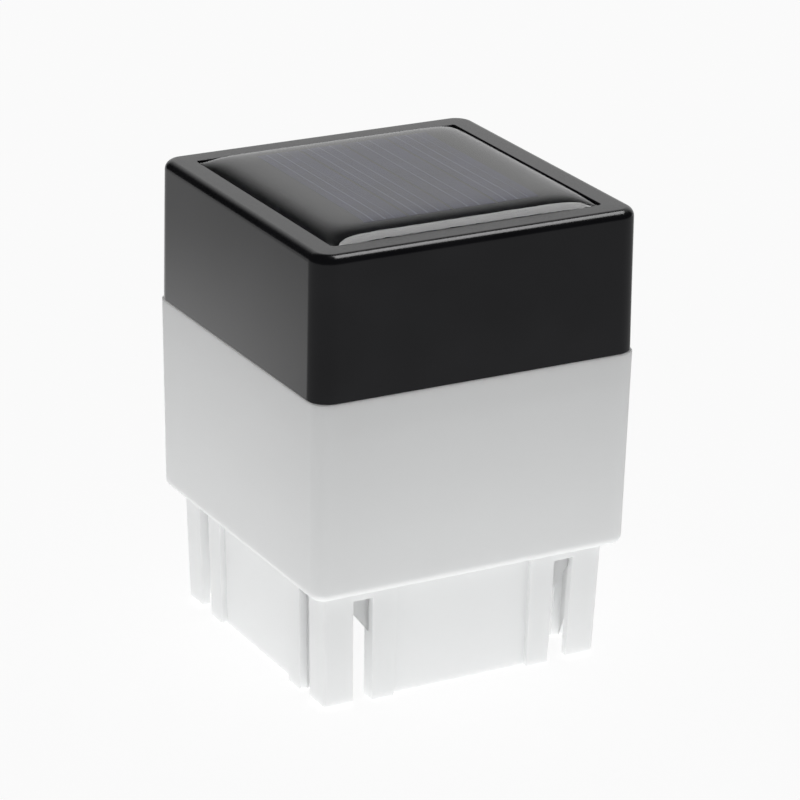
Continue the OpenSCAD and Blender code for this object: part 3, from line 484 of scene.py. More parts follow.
def block(bm, low, high):
    prism(bm, [(low[0], low[1]), (high[0], low[1]), (high[0], high[1]), (low[0], high[1])],
          low[2], high[2])


def circle(radius, height, sides):
    angles = [2 * math.pi * j / sides for j in range(sides)]
    return [(radius * math.cos(angle), radius * math.sin(angle), height) for angle in angles]


def turned(points, quarter):
    # the same outline turned by quarter turns
    for _ in range(quarter):
        points = [(-y, x) for x, y in points]
    return points


def lathe(bm, profile, sides=40):
    # solid of revolution round Z through (radius, height) points, from one pole to the other
    rings = [[bm.verts.new(point) for point in circle(radius, height, sides if radius > 0 else 1)]
             for radius, height in profile]
    for low, high in zip(rings, rings[1:]):
        for j in range(sides):
            k = (j + 1) % sides
            corners = (low[j % len(low)], low[k % len(low)], high[k % len(high)],
                       high[j % len(high)])
            bm.faces.new(list(dict.fromkeys(corners)))


def softProfile(corners, steps=4):
    # profile for lathe() from (radius, height, fillet) corners
    path = filletPath([corner + (0,) for corner in corners], False, steps)
    return [(width, height) for width, height, radius in path]


def tube(bm, path, radius, sides, side):
    # closed tube along a path, its rings kept upright by a side vector that no stretch follows
    rings = []
    last = len(path) - 1
    for i, point in enumerate(path):
        along = (path[min(i + 1, last)] - path[max(i - 1, 0)]).normalized()
        across = along.cross(side).normalized()
        up = along.cross(across)
        rings.append([point + across * x + up * y for x, y, z in circle(radius, 0, sides)])
    skin(bm, rings)


def alongX(bm, start, middle):
    # turns a shape drawn up Z so that it runs along X from a start
    turn = Matrix.Rotation(math.pi / 2, 4, "Y")
    bmesh.ops.transform(bm, verts=bm.verts,
                        matrix=Matrix.Translation((start, middle.y, middle.z)) @ turn)


def fromMeshes(*meshes):
    # finished meshes as a new drawing in millimetres
    bm = bmesh.new()
    for mesh in meshes:
        bm.from_mesh(mesh)
    bmesh.ops.scale(bm, vec=(1 / mm, 1 / mm, 1 / mm), verts=bm.verts)
    return bm


def newPiece(name, bm, material):
    bmesh.ops.remove_doubles(bm, verts=bm.verts, dist=mesher["weld"])
    bmesh.ops.recalc_face_normals(bm, faces=bm.faces)
    bmesh.ops.scale(bm, vec=(mm, mm, mm), verts=bm.verts)
    mesh = bpy.data.meshes.new(name)
    bm.to_mesh(mesh)
    bm.free()
    mesh.materials.append(material)
    piece = bpy.data.objects.new(name, mesh)
    scene.collection.objects.link(piece)
    return piece


def applied(piece):
    # turns a piece's live modifiers into its plain mesh
    graph = bpy.context.evaluated_depsgraph_get()
    mesh = bpy.data.meshes.new_from_object(piece.evaluated_get(graph), depsgraph=graph)
    mesh.name = piece.name
    piece.modifiers.clear()
    piece.data = mesh


def combine(piece, tool, operation):
    # cuts, or joins on, another closed mesh, which is used up
    change = piece.modifiers.new(operation.lower(), "BOOLEAN")
    change.operation, change.solver, change.object = operation, "EXACT", tool
    applied(piece)
    bpy.data.objects.remove(tool)


def carve(piece, bm, operation="DIFFERENCE"):
    # the same with a tool that is only drawn yet
    combine(piece, newPiece("tool", bm, piece.data.materials[0]), operation)


def ease(piece, width, angle=35):
    # small round on every sharp edge, as a mould leaves it
    change = piece.modifiers.new("ease", "BEVEL")
    change.width, change.segments = width * mm, 2
    change.limit_method, change.angle_limit = "ANGLE", math.radians(angle)
    change.harden_normals = False
    change.use_clamp_overlap = True
    applied(piece)


def smooth(piece, angle=35):
    # smooth shading with the flat faces kept flat
    mesh = piece.data
    for face in mesh.polygons:
        face.use_smooth = True
    mesh.set_sharp_from_angle(angle=math.radians(angle))
    change = piece.modifiers.new("flats", "WEIGHTED_NORMAL")
    change.keep_sharp, change.weight = True, 80
    applied(piece)


def fitted(piece, body, slot, *nodes):
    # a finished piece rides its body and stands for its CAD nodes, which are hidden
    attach(piece, body)
    if nodes:
        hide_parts(*nodes)


def drawn(name, bm, paint, shape=None):
    # a piece from a drawing, shaded as its name asks; a shape to repeat has a name of its own
    piece = newPiece(shape or name, bm, paints[paint])
    if name in mesher["smoothTo"]:
        smooth(piece, mesher["smoothTo"][name])
    return piece


def eased(node, name, paint, width, angle, body, slot):
    # a CAD node's own form, its loose triangles merged into flat faces and its edges eased
    bm = fromMeshes(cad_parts[node].data)
    bmesh.ops.remove_doubles(bm, verts=bm.verts, dist=mesher["nodeWeld"])
    bmesh.ops.dissolve_limit(bm, angle_limit=math.radians(mesher["flatTo"]), verts=bm.verts,
                             edges=bm.edges)
    piece = newPiece(name, bm, paints[paint])
    ease(piece, width, angle)
    smooth(piece)
    fitted(piece, body, slot, node)


# copies of one shape

def buildRepeat():
    # copies of a shape on the vertices of the modified mesh, each by its own chance turn
    tree = bpy.data.node_groups.new("repeat_on_points", "GeometryNodeTree")
    for name, kind in (("Points", "Geometry"), ("Shape", "Object"), ("Size", "Vector"),
                       ("Largest turn", "Float"), ("Seed", "Int"), ("Material", "Material")):
        tree.interface.new_socket(name, in_out="INPUT", socket_type="NodeSocket" + kind)
    tree.interface.new_socket("Copies", in_out="OUTPUT", socket_type="NodeSocketGeometry")
    given = addNode(tree, "NodeGroupInput").outputs
    shape = addNode(tree, "GeometryNodeObjectInfo", {"Object": given["Shape"]})
    turn = addNode(tree, "FunctionNodeRandomValue",
                   {"Max": given["Largest turn"], "Seed": given["Seed"]}, data_type="FLOAT")
    about = addNode(tree, "ShaderNodeCombineXYZ", {"Z": turn.outputs["Value"]})
    copies = addNode(tree, "GeometryNodeInstanceOnPoints",
                     {"Points": given["Points"], "Instance": shape.outputs["Geometry"],
                      "Rotation": about, "Scale": given["Size"]})
    real = addNode(tree, "GeometryNodeRealizeInstances", {"Geometry": copies})
    coat = addNode(tree, "GeometryNodeSetMaterial",
                   {"Geometry": real, "Material": given["Material"]})
    addNode(tree, "NodeGroupOutput", {0: coat})
    return tree


repeatGroup = buildRepeat()


def repeat(name, bm, places, paint, size=(1, 1, 1), largestTurn=0, seed=7):
    # a shape drawn at the origin, copied to places in mm
    shape = drawn(name, bm, paint, "shape")
    mesh = bpy.data.meshes.new(name)
    mesh.from_pydata([Vector(place) * mm for place in places], [], [])
    piece = bpy.data.objects.new(name, mesh)
    scene.collection.objects.link(piece)
    change = piece.modifiers.new("repeat", "NODES")
    change.node_group = repeatGroup
    values = {"Shape": shape, "Size": size, "Largest turn": math.radians(largestTurn),
              "Seed": seed, "Material": paints[paint]}
    for item in repeatGroup.interface.items_tree:
        if item.name in values and item.in_out == "INPUT":
            change[item.identifier] = values[item.name]
    applied(piece)
    bpy.data.objects.remove(shape)
    return piece


# cap

capLow, capHigh = nodeBox("cap_housing")
resinHigh = nodeBox("panel_resin")[1]
boardLow, boardHigh = nodeBox("panel_board")
tapeLow = nodeBox("panel_tape")[0]
trayLow, trayHigh = nodeBox("base_tray")

cap = {
    "wall": 1.8, "draft": 0.2, "corner": 3.7, "rimRound": 1.6,
    "edge": 0.15,           # round on the cap's other edges
    "recessWall": 1.5, "recessFloor": 1.6, "recessCorner": 0.6, "innerCorner": 1.4,
    "shelfRound": 0.2, "roofRound": 0.3,    # inside, at the recess's floor and at the roof
    "flat": 1,              # width of the strips that close the recess's floor, above and below
    "leadSlot": (9, 4, 9),  # its length, width and place behind the middle
    "slotSteps": 16, "holeSides": 32,
    "panelGap": 0.4,
    "screwInset": 5.4, "boss": 6, "bossHole": 2.7, "holeDepth": 9.4, "web": 1.4,
    "rib": (1.6, 6),        # thickness and width of the stop rib on each side
    "overlap": 0.5,         # how far the bosses run into the roof
    "over": 1,              # how far a cut starts before the face it goes through
}


def addBosses(piece, c, roof, wall):
    # inside the cap: a hollow boss and its web for each tray screw, a stop rib on each side
    # and the slot that the panel's leads go through
    foot, top = trayHigh.z, roof + c["overlap"]
    place = trayHigh.x - c["screwInset"]
    thick, width = c["rib"]
    ribOut = wall + c["wall"] / 2
    half = c["web"] / 2 / math.sqrt(2)
    bosses, webs, ribs, cuts = (bmesh.new() for kind in range(4))
    for q in range(4):
        for bm, radius, low, high in ((bosses, c["boss"] / 2, foot, top),
                                      (cuts, c["bossHole"] / 2, foot - c["over"],
                                       foot + c["holeDepth"])):
            ring = circle(radius, 0, c["holeSides"])
            prism(bm, turned([(place + x, place + y) for x, y, z in ring], q), low, high)
        prism(webs, turned([(place + half, place - half), (wall + half, wall - half),
                            (wall - half, wall + half), (place - half, place + half)], q),
              foot, top)
        prism(ribs, turned([(wall - thick, -width / 2), (ribOut, -width / 2),
                            (ribOut, width / 2), (wall - thick, width / 2)], q), foot, top)
    length, across, behind = c["leadSlot"]
    steps = c["slotSteps"]
    slot = [direction(start + 180 * j / steps) * across / 2
            + Vector((side * (length - across) / 2, behind, 0))
            for side, start in ((1, -90), (-1, 90)) for j in range(steps + 1)]
    prism(cuts, [(v.x, v.y) for v in slot], roof - c["over"],
          roof + c["recessFloor"] + c["over"])
    for bm in (bosses, webs, ribs):
        carve(piece, bm, "UNION")
    carve(piece, cuts)


def makeCap(c):
    foot, head = capLow.z, capHigh.z
    half = capHigh.x
    recess = boardHigh.x + c["panelGap"]
    floor = tapeLow.z
    roof = floor - c["recessFloor"]
    shelf, shelfCorner = recess + c["recessWall"], c["recessCorner"] + c["recessWall"]
    inner = half - c["wall"]
    under = head - c["wall"]
    bm = bmesh.new()
    loft(bm, filletPath([
        (shelf - c["flat"], roof, 0, c["innerCorner"]),
        (shelf, roof, c["shelfRound"], shelfCorner),
        (shelf, under, c["roofRound"], shelfCorner),
        (inner - c["draft"], under, c["roofRound"], c["innerCorner"]),
        (inner, foot, c["edge"], c["innerCorner"]),
        (half, foot, c["edge"], c["corner"]),
        (half - c["draft"], head, c["rimRound"], c["corner"]),
        (recess, head, c["edge"], c["recessCorner"]),
        (recess, floor, c["shelfRound"], c["recessCorner"]),
        (recess - c["flat"], floor, 0, c["recessCorner"]),
    ], closed=False))
    piece = newPiece("capHousing", bm, paints["abs"])
    addBosses(piece, c, roof, inner - c["draft"])
    smooth(piece)
    fitted(piece, "cap", "black_abs", "cap_housing")


makeCap(cap)
print("cap made")


# diffuser

diffuserHigh = nodeBox("diffuser")[1]

diffuser = {
    "shoulder": 21, "draft": 0.45, "corner": 2.6, "footRound": 1.6,
    "wall": 1.8, "shoulderWall": 1.8, "rimLead": 0.4, "rimRound": 0.1, "innerCorner": 1.4,
    "innerRound": 0.6,      # inside, where the walls meet the shoulder
    "leadRound": 0.2,       # under the rim's lead-in
    "shoulderWidth": 3, "plugDraft": 0.66, "plugWall": 1.5, "plugCorner": 0.65,
    "holeCorner": 0.4, "holeIn": 0.099,     # how far the shoulder's hole is inside the plug's wall
    "postLeg": 5.4, "postShort": 0.45, "slot": 3.5, "slotBand": 2.05,
    "paneStep": 1, "pane": 1.4, "strip": 4.2, "flange": 3,
    "ease": 0.16,           # round on the moulding's edges
    "over": 1,              # how far a cut starts before the face it goes through
}


def makePlug(d):
    # square tube with four corner posts, and in each side a set-back pane between two flanges
    half = diffuserHigh.x - d["draft"] - d["shoulderWidth"]
    footHalf = half - d["plugDraft"]
    over, top = d["over"], d["shoulder"] + d["shoulderWall"] / 2
    panel = footHalf - d["postLeg"] - d["slot"]
    pane = panel - d["strip"]
    wall = footHalf - d["plugWall"]
    paneIn = footHalf - d["paneStep"] - d["pane"]

    def wider(height):
        # how much wider the plug is than at its foot
        return 1 + d["plugDraft"] / footHalf * height / d["shoulder"]

    bm = bmesh.new()
    loft(bm, [(footHalf, 0, d["plugCorner"]),
              (footHalf * wider(top), top, d["plugCorner"] * wider(top))])
    plug = newPiece("plug", bm, paints["frosted"])

    # room inside the walls, with the flanges and the set-back panes left standing
    flangeIn = -footHalf + d["flange"]
    quarter = [(-wall, -wall), (-panel, -wall), (-panel, flangeIn), (-panel + d["pane"], flangeIn),
               (-panel + d["pane"], -wall), (-pane - d["plugWall"], -wall),
               (-pane - d["plugWall"], -paneIn), (pane + d["plugWall"], -paneIn),
               (pane + d["plugWall"], -wall), (panel - d["pane"], -wall),
               (panel - d["pane"], flangeIn), (panel, flangeIn), (panel, -wall)]
    room = [(x * wider(-over), y * wider(-over)) for q in range(4) for x, y in turned(quarter, q)]
    bm = bmesh.new()
    prism(bm, room, -over, top + over, wider(top + over) / wider(-over))
    carve(plug, bm)

    # slots, then the panes' faces, then the posts' shorter feet
    slots, faces, feet = (bmesh.new() for kind in range(3))
    band, high = d["shoulder"] - d["slotBand"], d["shoulder"] + d["shoulderWall"] + over
    depth = d["plugWall"] + d["plugDraft"] + d["flange"] / 2
    step = [(-half - over, -over), (d["paneStep"] - footHalf * wider(-over), -over),
            (d["paneStep"] - footHalf * wider(high), high), (-half - over, high)]
    edge, reach = panel + d["slot"] / 2, half + over
    for q in range(4):
        turn = Matrix.Rotation(math.radians(90 * q), 4, "Z")
        for side in (-1, 1):
            near, far = side * panel, side * (panel + d["slot"])
            corners = [(near * wider(-over), -over), (far * wider(-over), -over),
                       (far * wider(band), band), (near * wider(band), band)]
            skin(slots, [[turn @ Vector((x, y, z)) for x, z in corners]
                         for y in (-half - over, -half + depth)])
        skin(faces, [[turn @ Vector((x, y, z)) for y, z in step] for x in (-pane, pane)])
        prism(feet, turned([(edge, edge), (reach, edge), (reach, reach), (edge, reach)], q),
              -over, d["postShort"])
    for bm in (slots, faces, feet):
        carve(plug, bm)
    return plug


def makeDiffuser(d):
    shoulder, rim = d["shoulder"], diffuserHigh.z
    half = diffuserHigh.x
    footHalf = half - d["draft"]
    inner, innerFoot = half - d["wall"], footHalf - d["wall"]
    hole = footHalf - d["shoulderWidth"] - d["plugWall"] - d["holeIn"]
    bm = bmesh.new()
    loft(bm, filletPath([
        (hole, shoulder, 0, d["holeCorner"]),
        (footHalf, shoulder, d["footRound"], d["corner"]),
        (half, rim, d["ease"], d["corner"]),
        (inner + d["rimLead"], rim, d["rimRound"], d["innerCorner"] + d["rimLead"]),
        (inner, rim - d["rimLead"], d["leadRound"], d["innerCorner"]),
        (innerFoot, shoulder + d["shoulderWall"], d["innerRound"], d["innerCorner"]),
        (hole, shoulder + d["shoulderWall"], d["ease"], d["holeCorner"]),
    ], closed=True), closed=True)
    piece = newPiece("diffuserShell", bm, paints["frosted"])
    plug = makePlug(d)
    ease(plug, d["ease"])
    combine(piece, plug, "UNION")
    smooth(piece)
    fitted(piece, "diffuser", "frosted_plastic", "diffuser")


makeDiffuser(diffuser)
print("diffuser made")


# solar panel

cellLow, cellHigh = nodeBox("solar_cells")

panel = {
    "edge": 0.9,            # height of the resin at the panel's edge
    "shoulder": 1.8,        # distance from the edge over which it rises
    "steps": 40,            # from the middle to an edge
    "sink": 0.04,           # how far the resin wets into the board, so that nothing shows between
    "lineHeight": 0.1, "lineSink": 0.02,
    # the lines' width, and each one's place across the panel, in mm from its middle
    "cellLines": (0.3, (-14.05, -11.9, -6.1, -4.1, -2.0, 3.3, 5.5, 10.6, 12.65)),
    "faintCellLines": (0.12, (-10.25, 14.7)),
}


def makeResin(p):
    half, foot = boardHigh.x, boardHigh.z
    edge = foot + p["edge"]
    crown = resinHigh.z - edge
    at = [math.sin(math.pi / 2 * i / p["steps"]) for i in range(-p["steps"], p["steps"] + 1)]
    share = [1 - math.exp(-half * (1 - abs(u)) / p["shoulder"]) for u in at]
    bm = bmesh.new()
    grid = [[bm.verts.new((half * u, half * v, edge + crown * a * b))
             for u, a in zip(at, share)] for v, b in zip(at, share)]
    for near, far in zip(grid, grid[1:]):
        for i in range(len(at) - 1):
            bm.faces.new((near[i], near[i + 1], far[i + 1], far[i]))
    rim = (grid[0] + [row[-1] for row in grid[1:]] + list(reversed(grid[-1][:-1]))
           + [row[0] for row in reversed(grid[1:-1])])
    base = [bm.verts.new((v.co.x, v.co.y, foot - p["sink"])) for v in rim]
    for j in range(len(rim)):
        k = (j + 1) % len(rim)
        bm.faces.new((base[j], base[k], rim[k], rim[j]))
    bm.faces.new(list(reversed(base)))
    fitted(drawn("resinDome", bm, "resin"), "cap", "clear_resin", "panel_resin")


def makeCellLines(p):
    middle, base = (cellLow.y + cellHigh.y) / 2, cellHigh.z - p["lineSink"]
    for name in ("cellLines", "faintCellLines"):
        width, across = p[name]
        bm = bmesh.new()
        block(bm, (-0.5, -0.5, 0), (0.5, 0.5, 1))
        size = (width, cellHigh.y - cellLow.y, p["lineHeight"] + p["lineSink"])
        piece = repeat(name, bm, [(x, middle, base) for x in across], "ribbon", size)
        fitted(piece, "cap", "tinned_ribbon", "cell_ribbons")


makeResin(panel)
makeCellLines(panel)
print("panel made")


# tray and battery door

lampsLow, lampsHigh = nodeBox("lamps")
knobLow, knobHigh = nodeBox("switch_knob")

tray = {
    "ease": 0.12, "easeFrom": 40,       # its edges' round, and the least angle it is put on
    "letterSize": 1.9, "letterRise": 0.12,
    "letterPlaces": {"OFF": -5.4, "ON": 5.4},   # mm along X, on each side of the knob
}


def makeLetters(t):
    # raised marks beside the knob, read from below
    meshes = []
    for word, x in t["letterPlaces"].items():
        data = bpy.data.curves.new(word, "FONT")
        data.body, data.size = word, t["letterSize"] * mm
        data.extrude = t["letterRise"] * mm
        data.align_x, data.align_y = "CENTER", "CENTER"
        holder = bpy.data.objects.new(word, data)
        scene.collection.objects.link(holder)
        graph = bpy.context.evaluated_depsgraph_get()
        mesh = bpy.data.meshes.new_from_object(holder.evaluated_get(graph), depsgraph=graph)
        place = Vector((x, (knobLow.y + knobHigh.y) / 2, trayLow.z)) * mm
        mesh.transform(Matrix.Translation(place) @ Matrix.Rotation(math.pi, 4, "X"))
        meshes.append(mesh)
        bpy.data.objects.remove(holder)
    fitted(drawn("switchMarks", fromMeshes(*meshes), "abs"), "cap", "black_abs")


eased("base_tray", "baseTray", "abs", tray["ease"], tray["easeFrom"], "cap", "black_abs")
makeLetters(tray)
eased("battery_door", "batteryDoor", "abs", tray["ease"], tray["easeFrom"], "battery_door",
      "black_abs")
print("tray and door made")


# screws

trayScrewLow, trayScrewHigh = nodeBox("tray_screws")
boardScrewLow, boardScrewHigh = nodeBox("board_screws")

screws = {
    "tray": {"head": 5, "headHeight": 1.8, "shank": 2.6, "pitch": 1.1},
    "board": {"head": 3.8, "headHeight": 1.4, "shank": 2, "pitch": 0.9},
    "panTop": 0.72, "panSide": 0.55,    # shares of the head's radius and height where it curves
    "panRounds": (0.5, 0.35, 0.08),
    "crossLength": 0.56, "crossWidth": 0.13,    # shares of the head's width
    "crossDepth": 0.5, "crossTaper": 0.62, "crossOver": 0.2,
    "core": 0.72,           # the thread's core, as a share of its outer radius
    "ridge": 0.3,           # half of the ridge's foot, as a share of the pitch
    "tip": 0.4,             # the point's end, as a share of the outer radius
    "sides": 20, "stepsPerTurn": 8,
    "sunk": 0.3,            # how far the shank runs into the head, in mm
}


def threadRing(s, size, height, top):
    # one level of the thread, which thins out to the point at the top
    outer = size["shank"] / 2
    taper = min(1, s["tip"] + (1 - s["tip"]) * (top - height) / outer)
    ring = []
    for j, (x, y, z) in enumerate(circle(1, height, s["sides"])):
        phase = (height / size["pitch"] - j / s["sides"]) % 1
        ridge = max(0, 1 - abs(phase - 0.5) / s["ridge"])
        radius = outer * taper * (s["core"] + (1 - s["core"]) * ridge)
        ring.append((x * radius, y * radius, z))
    return ring


def makeScrew(s, size, length):
    # pan-head screw from its head's face at the origin, pointing up
    radius, high = size["head"] / 2, size["headHeight"]
    first, second, third = s["panRounds"]
    bm = bmesh.new()
    lathe(bm, softProfile([(0, 0, 0), (radius * s["panTop"], 0, first),
                           (radius, high * s["panSide"], second), (radius, high, third),
                           (0, high, 0)]))
    head = newPiece("head", bm, paints["zinc"])
    reach, width = radius * s["crossLength"], radius * s["crossWidth"]
    arm = [(reach, -width), (reach, width), (width, width)]
    bm = bmesh.new()
    prism(bm, [point for q in range(4) for point in turned(arm, q)], -s["crossOver"],
          high * s["crossDepth"], s["crossTaper"])
    carve(head, bm)

    bm = fromMeshes(head.data)
    bpy.data.objects.remove(head)
    low, top = high - s["sunk"], high + length
    count = int((top - low) / size["pitch"] * s["stepsPerTurn"])
    skin(bm, [threadRing(s, size, low + (top - low) * i / count, top) for i in range(count + 1)])
    return bm


def makeScrews(s):
    # the tray's four point up, the board's two point down
    middle = (boardScrewLow.y + boardScrewHigh.y) / 2
    for name, node, size, low, high, down, seed in (
            ("trayScrews", "tray_screws", s["tray"], trayScrewLow, trayScrewHigh, False, 7),
            ("boardScrews", "board_screws", s["board"], boardScrewLow, boardScrewHigh, True, 3)):
        bm = makeScrew(s, size, high.z - low.z - size["headHeight"])
        place = high.x - size["head"] / 2
        places = [(x * place, y * place, low.z) for x in (-1, 1) for y in (-1, 1)]
        if down:
            bmesh.ops.rotate(bm, verts=bm.verts, matrix=Matrix.Rotation(math.pi, 3, "X"))
            places = [(x * place, middle, high.z) for x in (-1, 1)]
        piece = repeat(name, bm, places, "zinc", largestTurn=90, seed=seed)
        fitted(piece, "cap", "zinc_steel", node)


makeScrews(screws)
print("screws made")


# lamps

lamp = {
    "flange": 5.8, "flangeHeight": 1, "flangeRound": 0.12, "seatRound": 0.1,
    "head": 4.8, "body": 2.6, "dome": 1.5, "domeSteps": 10, "sides": 24,
    "neck": 0.1,            # from the dome's rim up to where the straight side starts
    "postWidth": 0.5, "postAt": 1.27, "postDeep": 0.05,     # how deep in the flange a post ends
    "shortPost": 0.3,       # how much higher the second post ends
    "bridge": (0.3, 0.4),   # from the first post past the middle: its end and thickness
    "cupTop": -1.2, "cupDepth": 0.9, "cupFloor": 0.25,
    "cupRadius": (0.5, 0.95), "cupWall": (0.15, 0.1),       # at its floor and at its lip
    # phosphor in the cup, as radius and height over its lip
    "glow": ((0, -0.05), (0.516, 0), (0.86, 0.1), (0.774, 0.35), (0, 0.35)),
}


def makeLens(p):
    r, rise = p["head"] / 2, p["dome"]
    ball = (r * r + rise * rise) / (2 * rise)
    spread = math.asin(r / ball)
    steps = p["domeSteps"]
    angles = [spread * i / steps for i in range(steps + 1)]
    dome = [(ball * math.sin(a), -p["body"] - rise + ball - ball * math.cos(a)) for a in angles]
    bm = bmesh.new()
    lathe(bm, dome + softProfile([(r, p["neck"] - p["body"], 0), (r, 0, p["seatRound"]),
                                  (p["flange"] / 2, 0, p["flangeRound"]),
                                  (p["flange"] / 2, p["flangeHeight"], p["flangeRound"]),
                                  (0, p["flangeHeight"], 0)]))
    return bm


def makeLampFrame(p):
    # two posts, and on the first the cup that carries the die
    at, half = p["postAt"], p["postWidth"] / 2
    floor, top = p["cupTop"], p["flangeHeight"] - p["postDeep"]
    bm = bmesh.new()
    block(bm, (-at - half, -half, floor), (half - at, half, top))
    block(bm, (at - half, -half, floor + p["shortPost"]), (at + half, half, top))
    end, thick = p["bridge"]
    block(bm, (-at, -half, floor), (end, half, floor + thick))
    (floorRadius, lipRadius), (floorWall, lipWall) = p["cupRadius"], p["cupWall"]
    lip, bottom = floor - p["cupDepth"], floor - p["cupFloor"]
    lathe(bm, [(0, floor), (floorRadius + floorWall, floor), (lipRadius + lipWall, lip),
               (lipRadius, lip), (floorRadius, bottom), (0, bottom)], p["sides"])
    return bm


def makeLamps(p):
    # clear 5 mm lamps, heads down, with their lead frames and phosphor inside
    seat = lampsHigh.z - p["flangeHeight"]
    places = [(side * (lampsHigh.x - p["flange"] / 2), (lampsLow.y + lampsHigh.y) / 2, seat)
              for side in (-1, 1)]
    fitted(repeat("lampLenses", makeLens(p), places, "lamp"), "cap", "lamp_resin", "lamps")
    fitted(repeat("lampFrames", makeLampFrame(p), places, "tinned"), "cap", "tinned_wire")
    lip = p["cupTop"] - p["cupDepth"]
    bm = bmesh.new()
    lathe(bm, [(radius, lip + height) for radius, height in p["glow"]], p["sides"])
    fitted(repeat("lampPhosphor", bm, places, "phosphor"), "cap", "lamp_resin")


makeLamps(lamp)
print("lamps made")


# battery and spring

canLow, canHigh = nodeBox("battery_can")
sleeveLow, sleeveHigh = nodeBox("battery_sleeve")
coilLow, coilHigh = nodeBox("spring_coil")

battery = {
    "sides": 64, "gap": 0.02, "sleeve": 0.2,
    "button": 3.8, "buttonHeight": 0.9, "buttonRound": 0.3,
    "ringWidth": (0.7, 0.5), "ringDepth": 0.15, "ringRound": 0.05,  # pressed round the button
    "groove": (1.6, 0.2, 0.25, 0.1),    # its place, half width, depth and rounds
    "endRounds": (0.5, 0.4),
    # the shrunk film in section, as distances outside the can and past the film's end
    "filmFlatEnd": ((0.02, 0.35), (-0.25, -0.08), (-0.9, -0.08), (-0.9, -0.15), (-0.15, -0.15),
                    (0.1, 0), (0.2, 0.3)),
    "filmButtonEnd": ((0.2, -0.3), (0.08, 0.02), (-0.2, 0.12), (-0.9, 0.12), (-0.9, 0.04),
                      (-0.2, 0.02), (0.02, -0.35)),
}

spring = {"wire": 0.5, "sides": 12, "turns": 3, "pointsPerTurn": 40, "plateRadius": 3.6,
          "cellRadius": 2.2}


def makeBattery(b):
    middle = (sleeveLow + sleeveHigh) / 2
    length = canHigh.x - canLow.x
    shoulder = length - b["buttonHeight"]
    can = sleeveHigh.z - middle.z - b["sleeve"]
    steel, button = can - b["gap"], b["button"] / 2
    at, half, depth, soft = b["groove"]
    groove = shoulder - at
    flatRound, buttonEndRound = b["endRounds"]
    ringOut, ringIn = b["ringWidth"]
    ring = shoulder - b["ringDepth"]
    bm = bmesh.new()
    lathe(bm, softProfile([
        (0, 0, 0), (steel, 0, flatRound), (steel, groove, soft), (can - depth, groove + half, soft),
        (steel, groove + 2 * half, soft), (steel, shoulder, buttonEndRound),
        (button + ringOut, shoulder, soft), (button + ringIn, ring, b["ringRound"]),
        (button, ring, b["ringRound"]), (button, length, b["buttonRound"]), (0, length, 0),
    ]), b["sides"])
    alongX(bm, canLow.x, middle)
    fitted(drawn("batteryCan", bm, "nickel"), "battery", "battery_can", "battery_can")

    film = [(can + out, sleeveLow.x + past) for out, past in b["filmFlatEnd"]]
    film += [(can + out, sleeveHigh.x + past) for out, past in b["filmButtonEnd"]]
    bm = bmesh.new()
    skin(bm, [circle(radius, x - canLow.x, b["sides"]) for radius, x in film], closed=True)
    alongX(bm, canLow.x, middle)
    fitted(drawn("batterySleeve", bm, "sleeve"), "battery", "battery_sleeve", "battery_sleeve")


def makeSpring(s):
    middle = (sleeveLow + sleeveHigh) / 2
    start, end = coilLow.x + s["wire"] / 2, coilHigh.x - s["wire"] / 2
    count = s["turns"] * s["pointsPerTurn"]
    path = []
    for i in range(count + 1):
        share = i / count
        angle = 2 * math.pi * s["turns"] * share
        radius = s["plateRadius"] + (s["cellRadius"] - s["plateRadius"]) * share
        path.append(Vector((start + (end - start) * share, middle.y + radius * math.cos(angle),
                            middle.z + radius * math.sin(angle))))
    bm = bmesh.new()
    tube(bm, path, s["wire"] / 2, s["sides"], Vector((1, 0, 0)))
    fitted(drawn("contactCoil", bm, "nickel"), "cap", "nickel_steel", "spring_coil")


makeBattery(battery)
makeSpring(spring)
print("battery and spring made")


# circuit board and what is on it

pcbLow, pcbHigh = nodeBox("circuit_board")
chokeLow, chokeHigh = nodeBox("choke_coil")
pcbMiddle = (pcbLow.y + pcbHigh.y) / 2
chokeMiddle = (chokeLow.y + chokeHigh.y) / 2

chip = {
    "size": (4.9, 3.9, 1.4), "foot": 0.1, "round": 0.12,
    "dot": (0.35, 0.1, 0.9),    # its radius, its depth and its place in from the corner
    "dotSides": 20,
    "pins": 4, "pinPitch": 1.27, "pinWidth": 0.4, "pinSink": 0.05,
    # a pin from the side, out from the body and over the board
    "pin": ((-0.3, 0.63), (0.225, 0.63), (0.45, 0.05), (0.9, 0.05), (0.9, 0.25), (0.558, 0.25),
            (0.324, 0.83), (-0.3, 0.83)),
}

choke = {
    "width": 3, "length": 7, "waist": 0.82, "waistSlope": 0.5, "endRound": 0.5, "round": 0.4,
    "wire": 0.6, "wireOut": 1.5, "wireIn": 0.5, "wireBend": 0.6, "bendSteps": 6,
    "wireSides": 12,
}

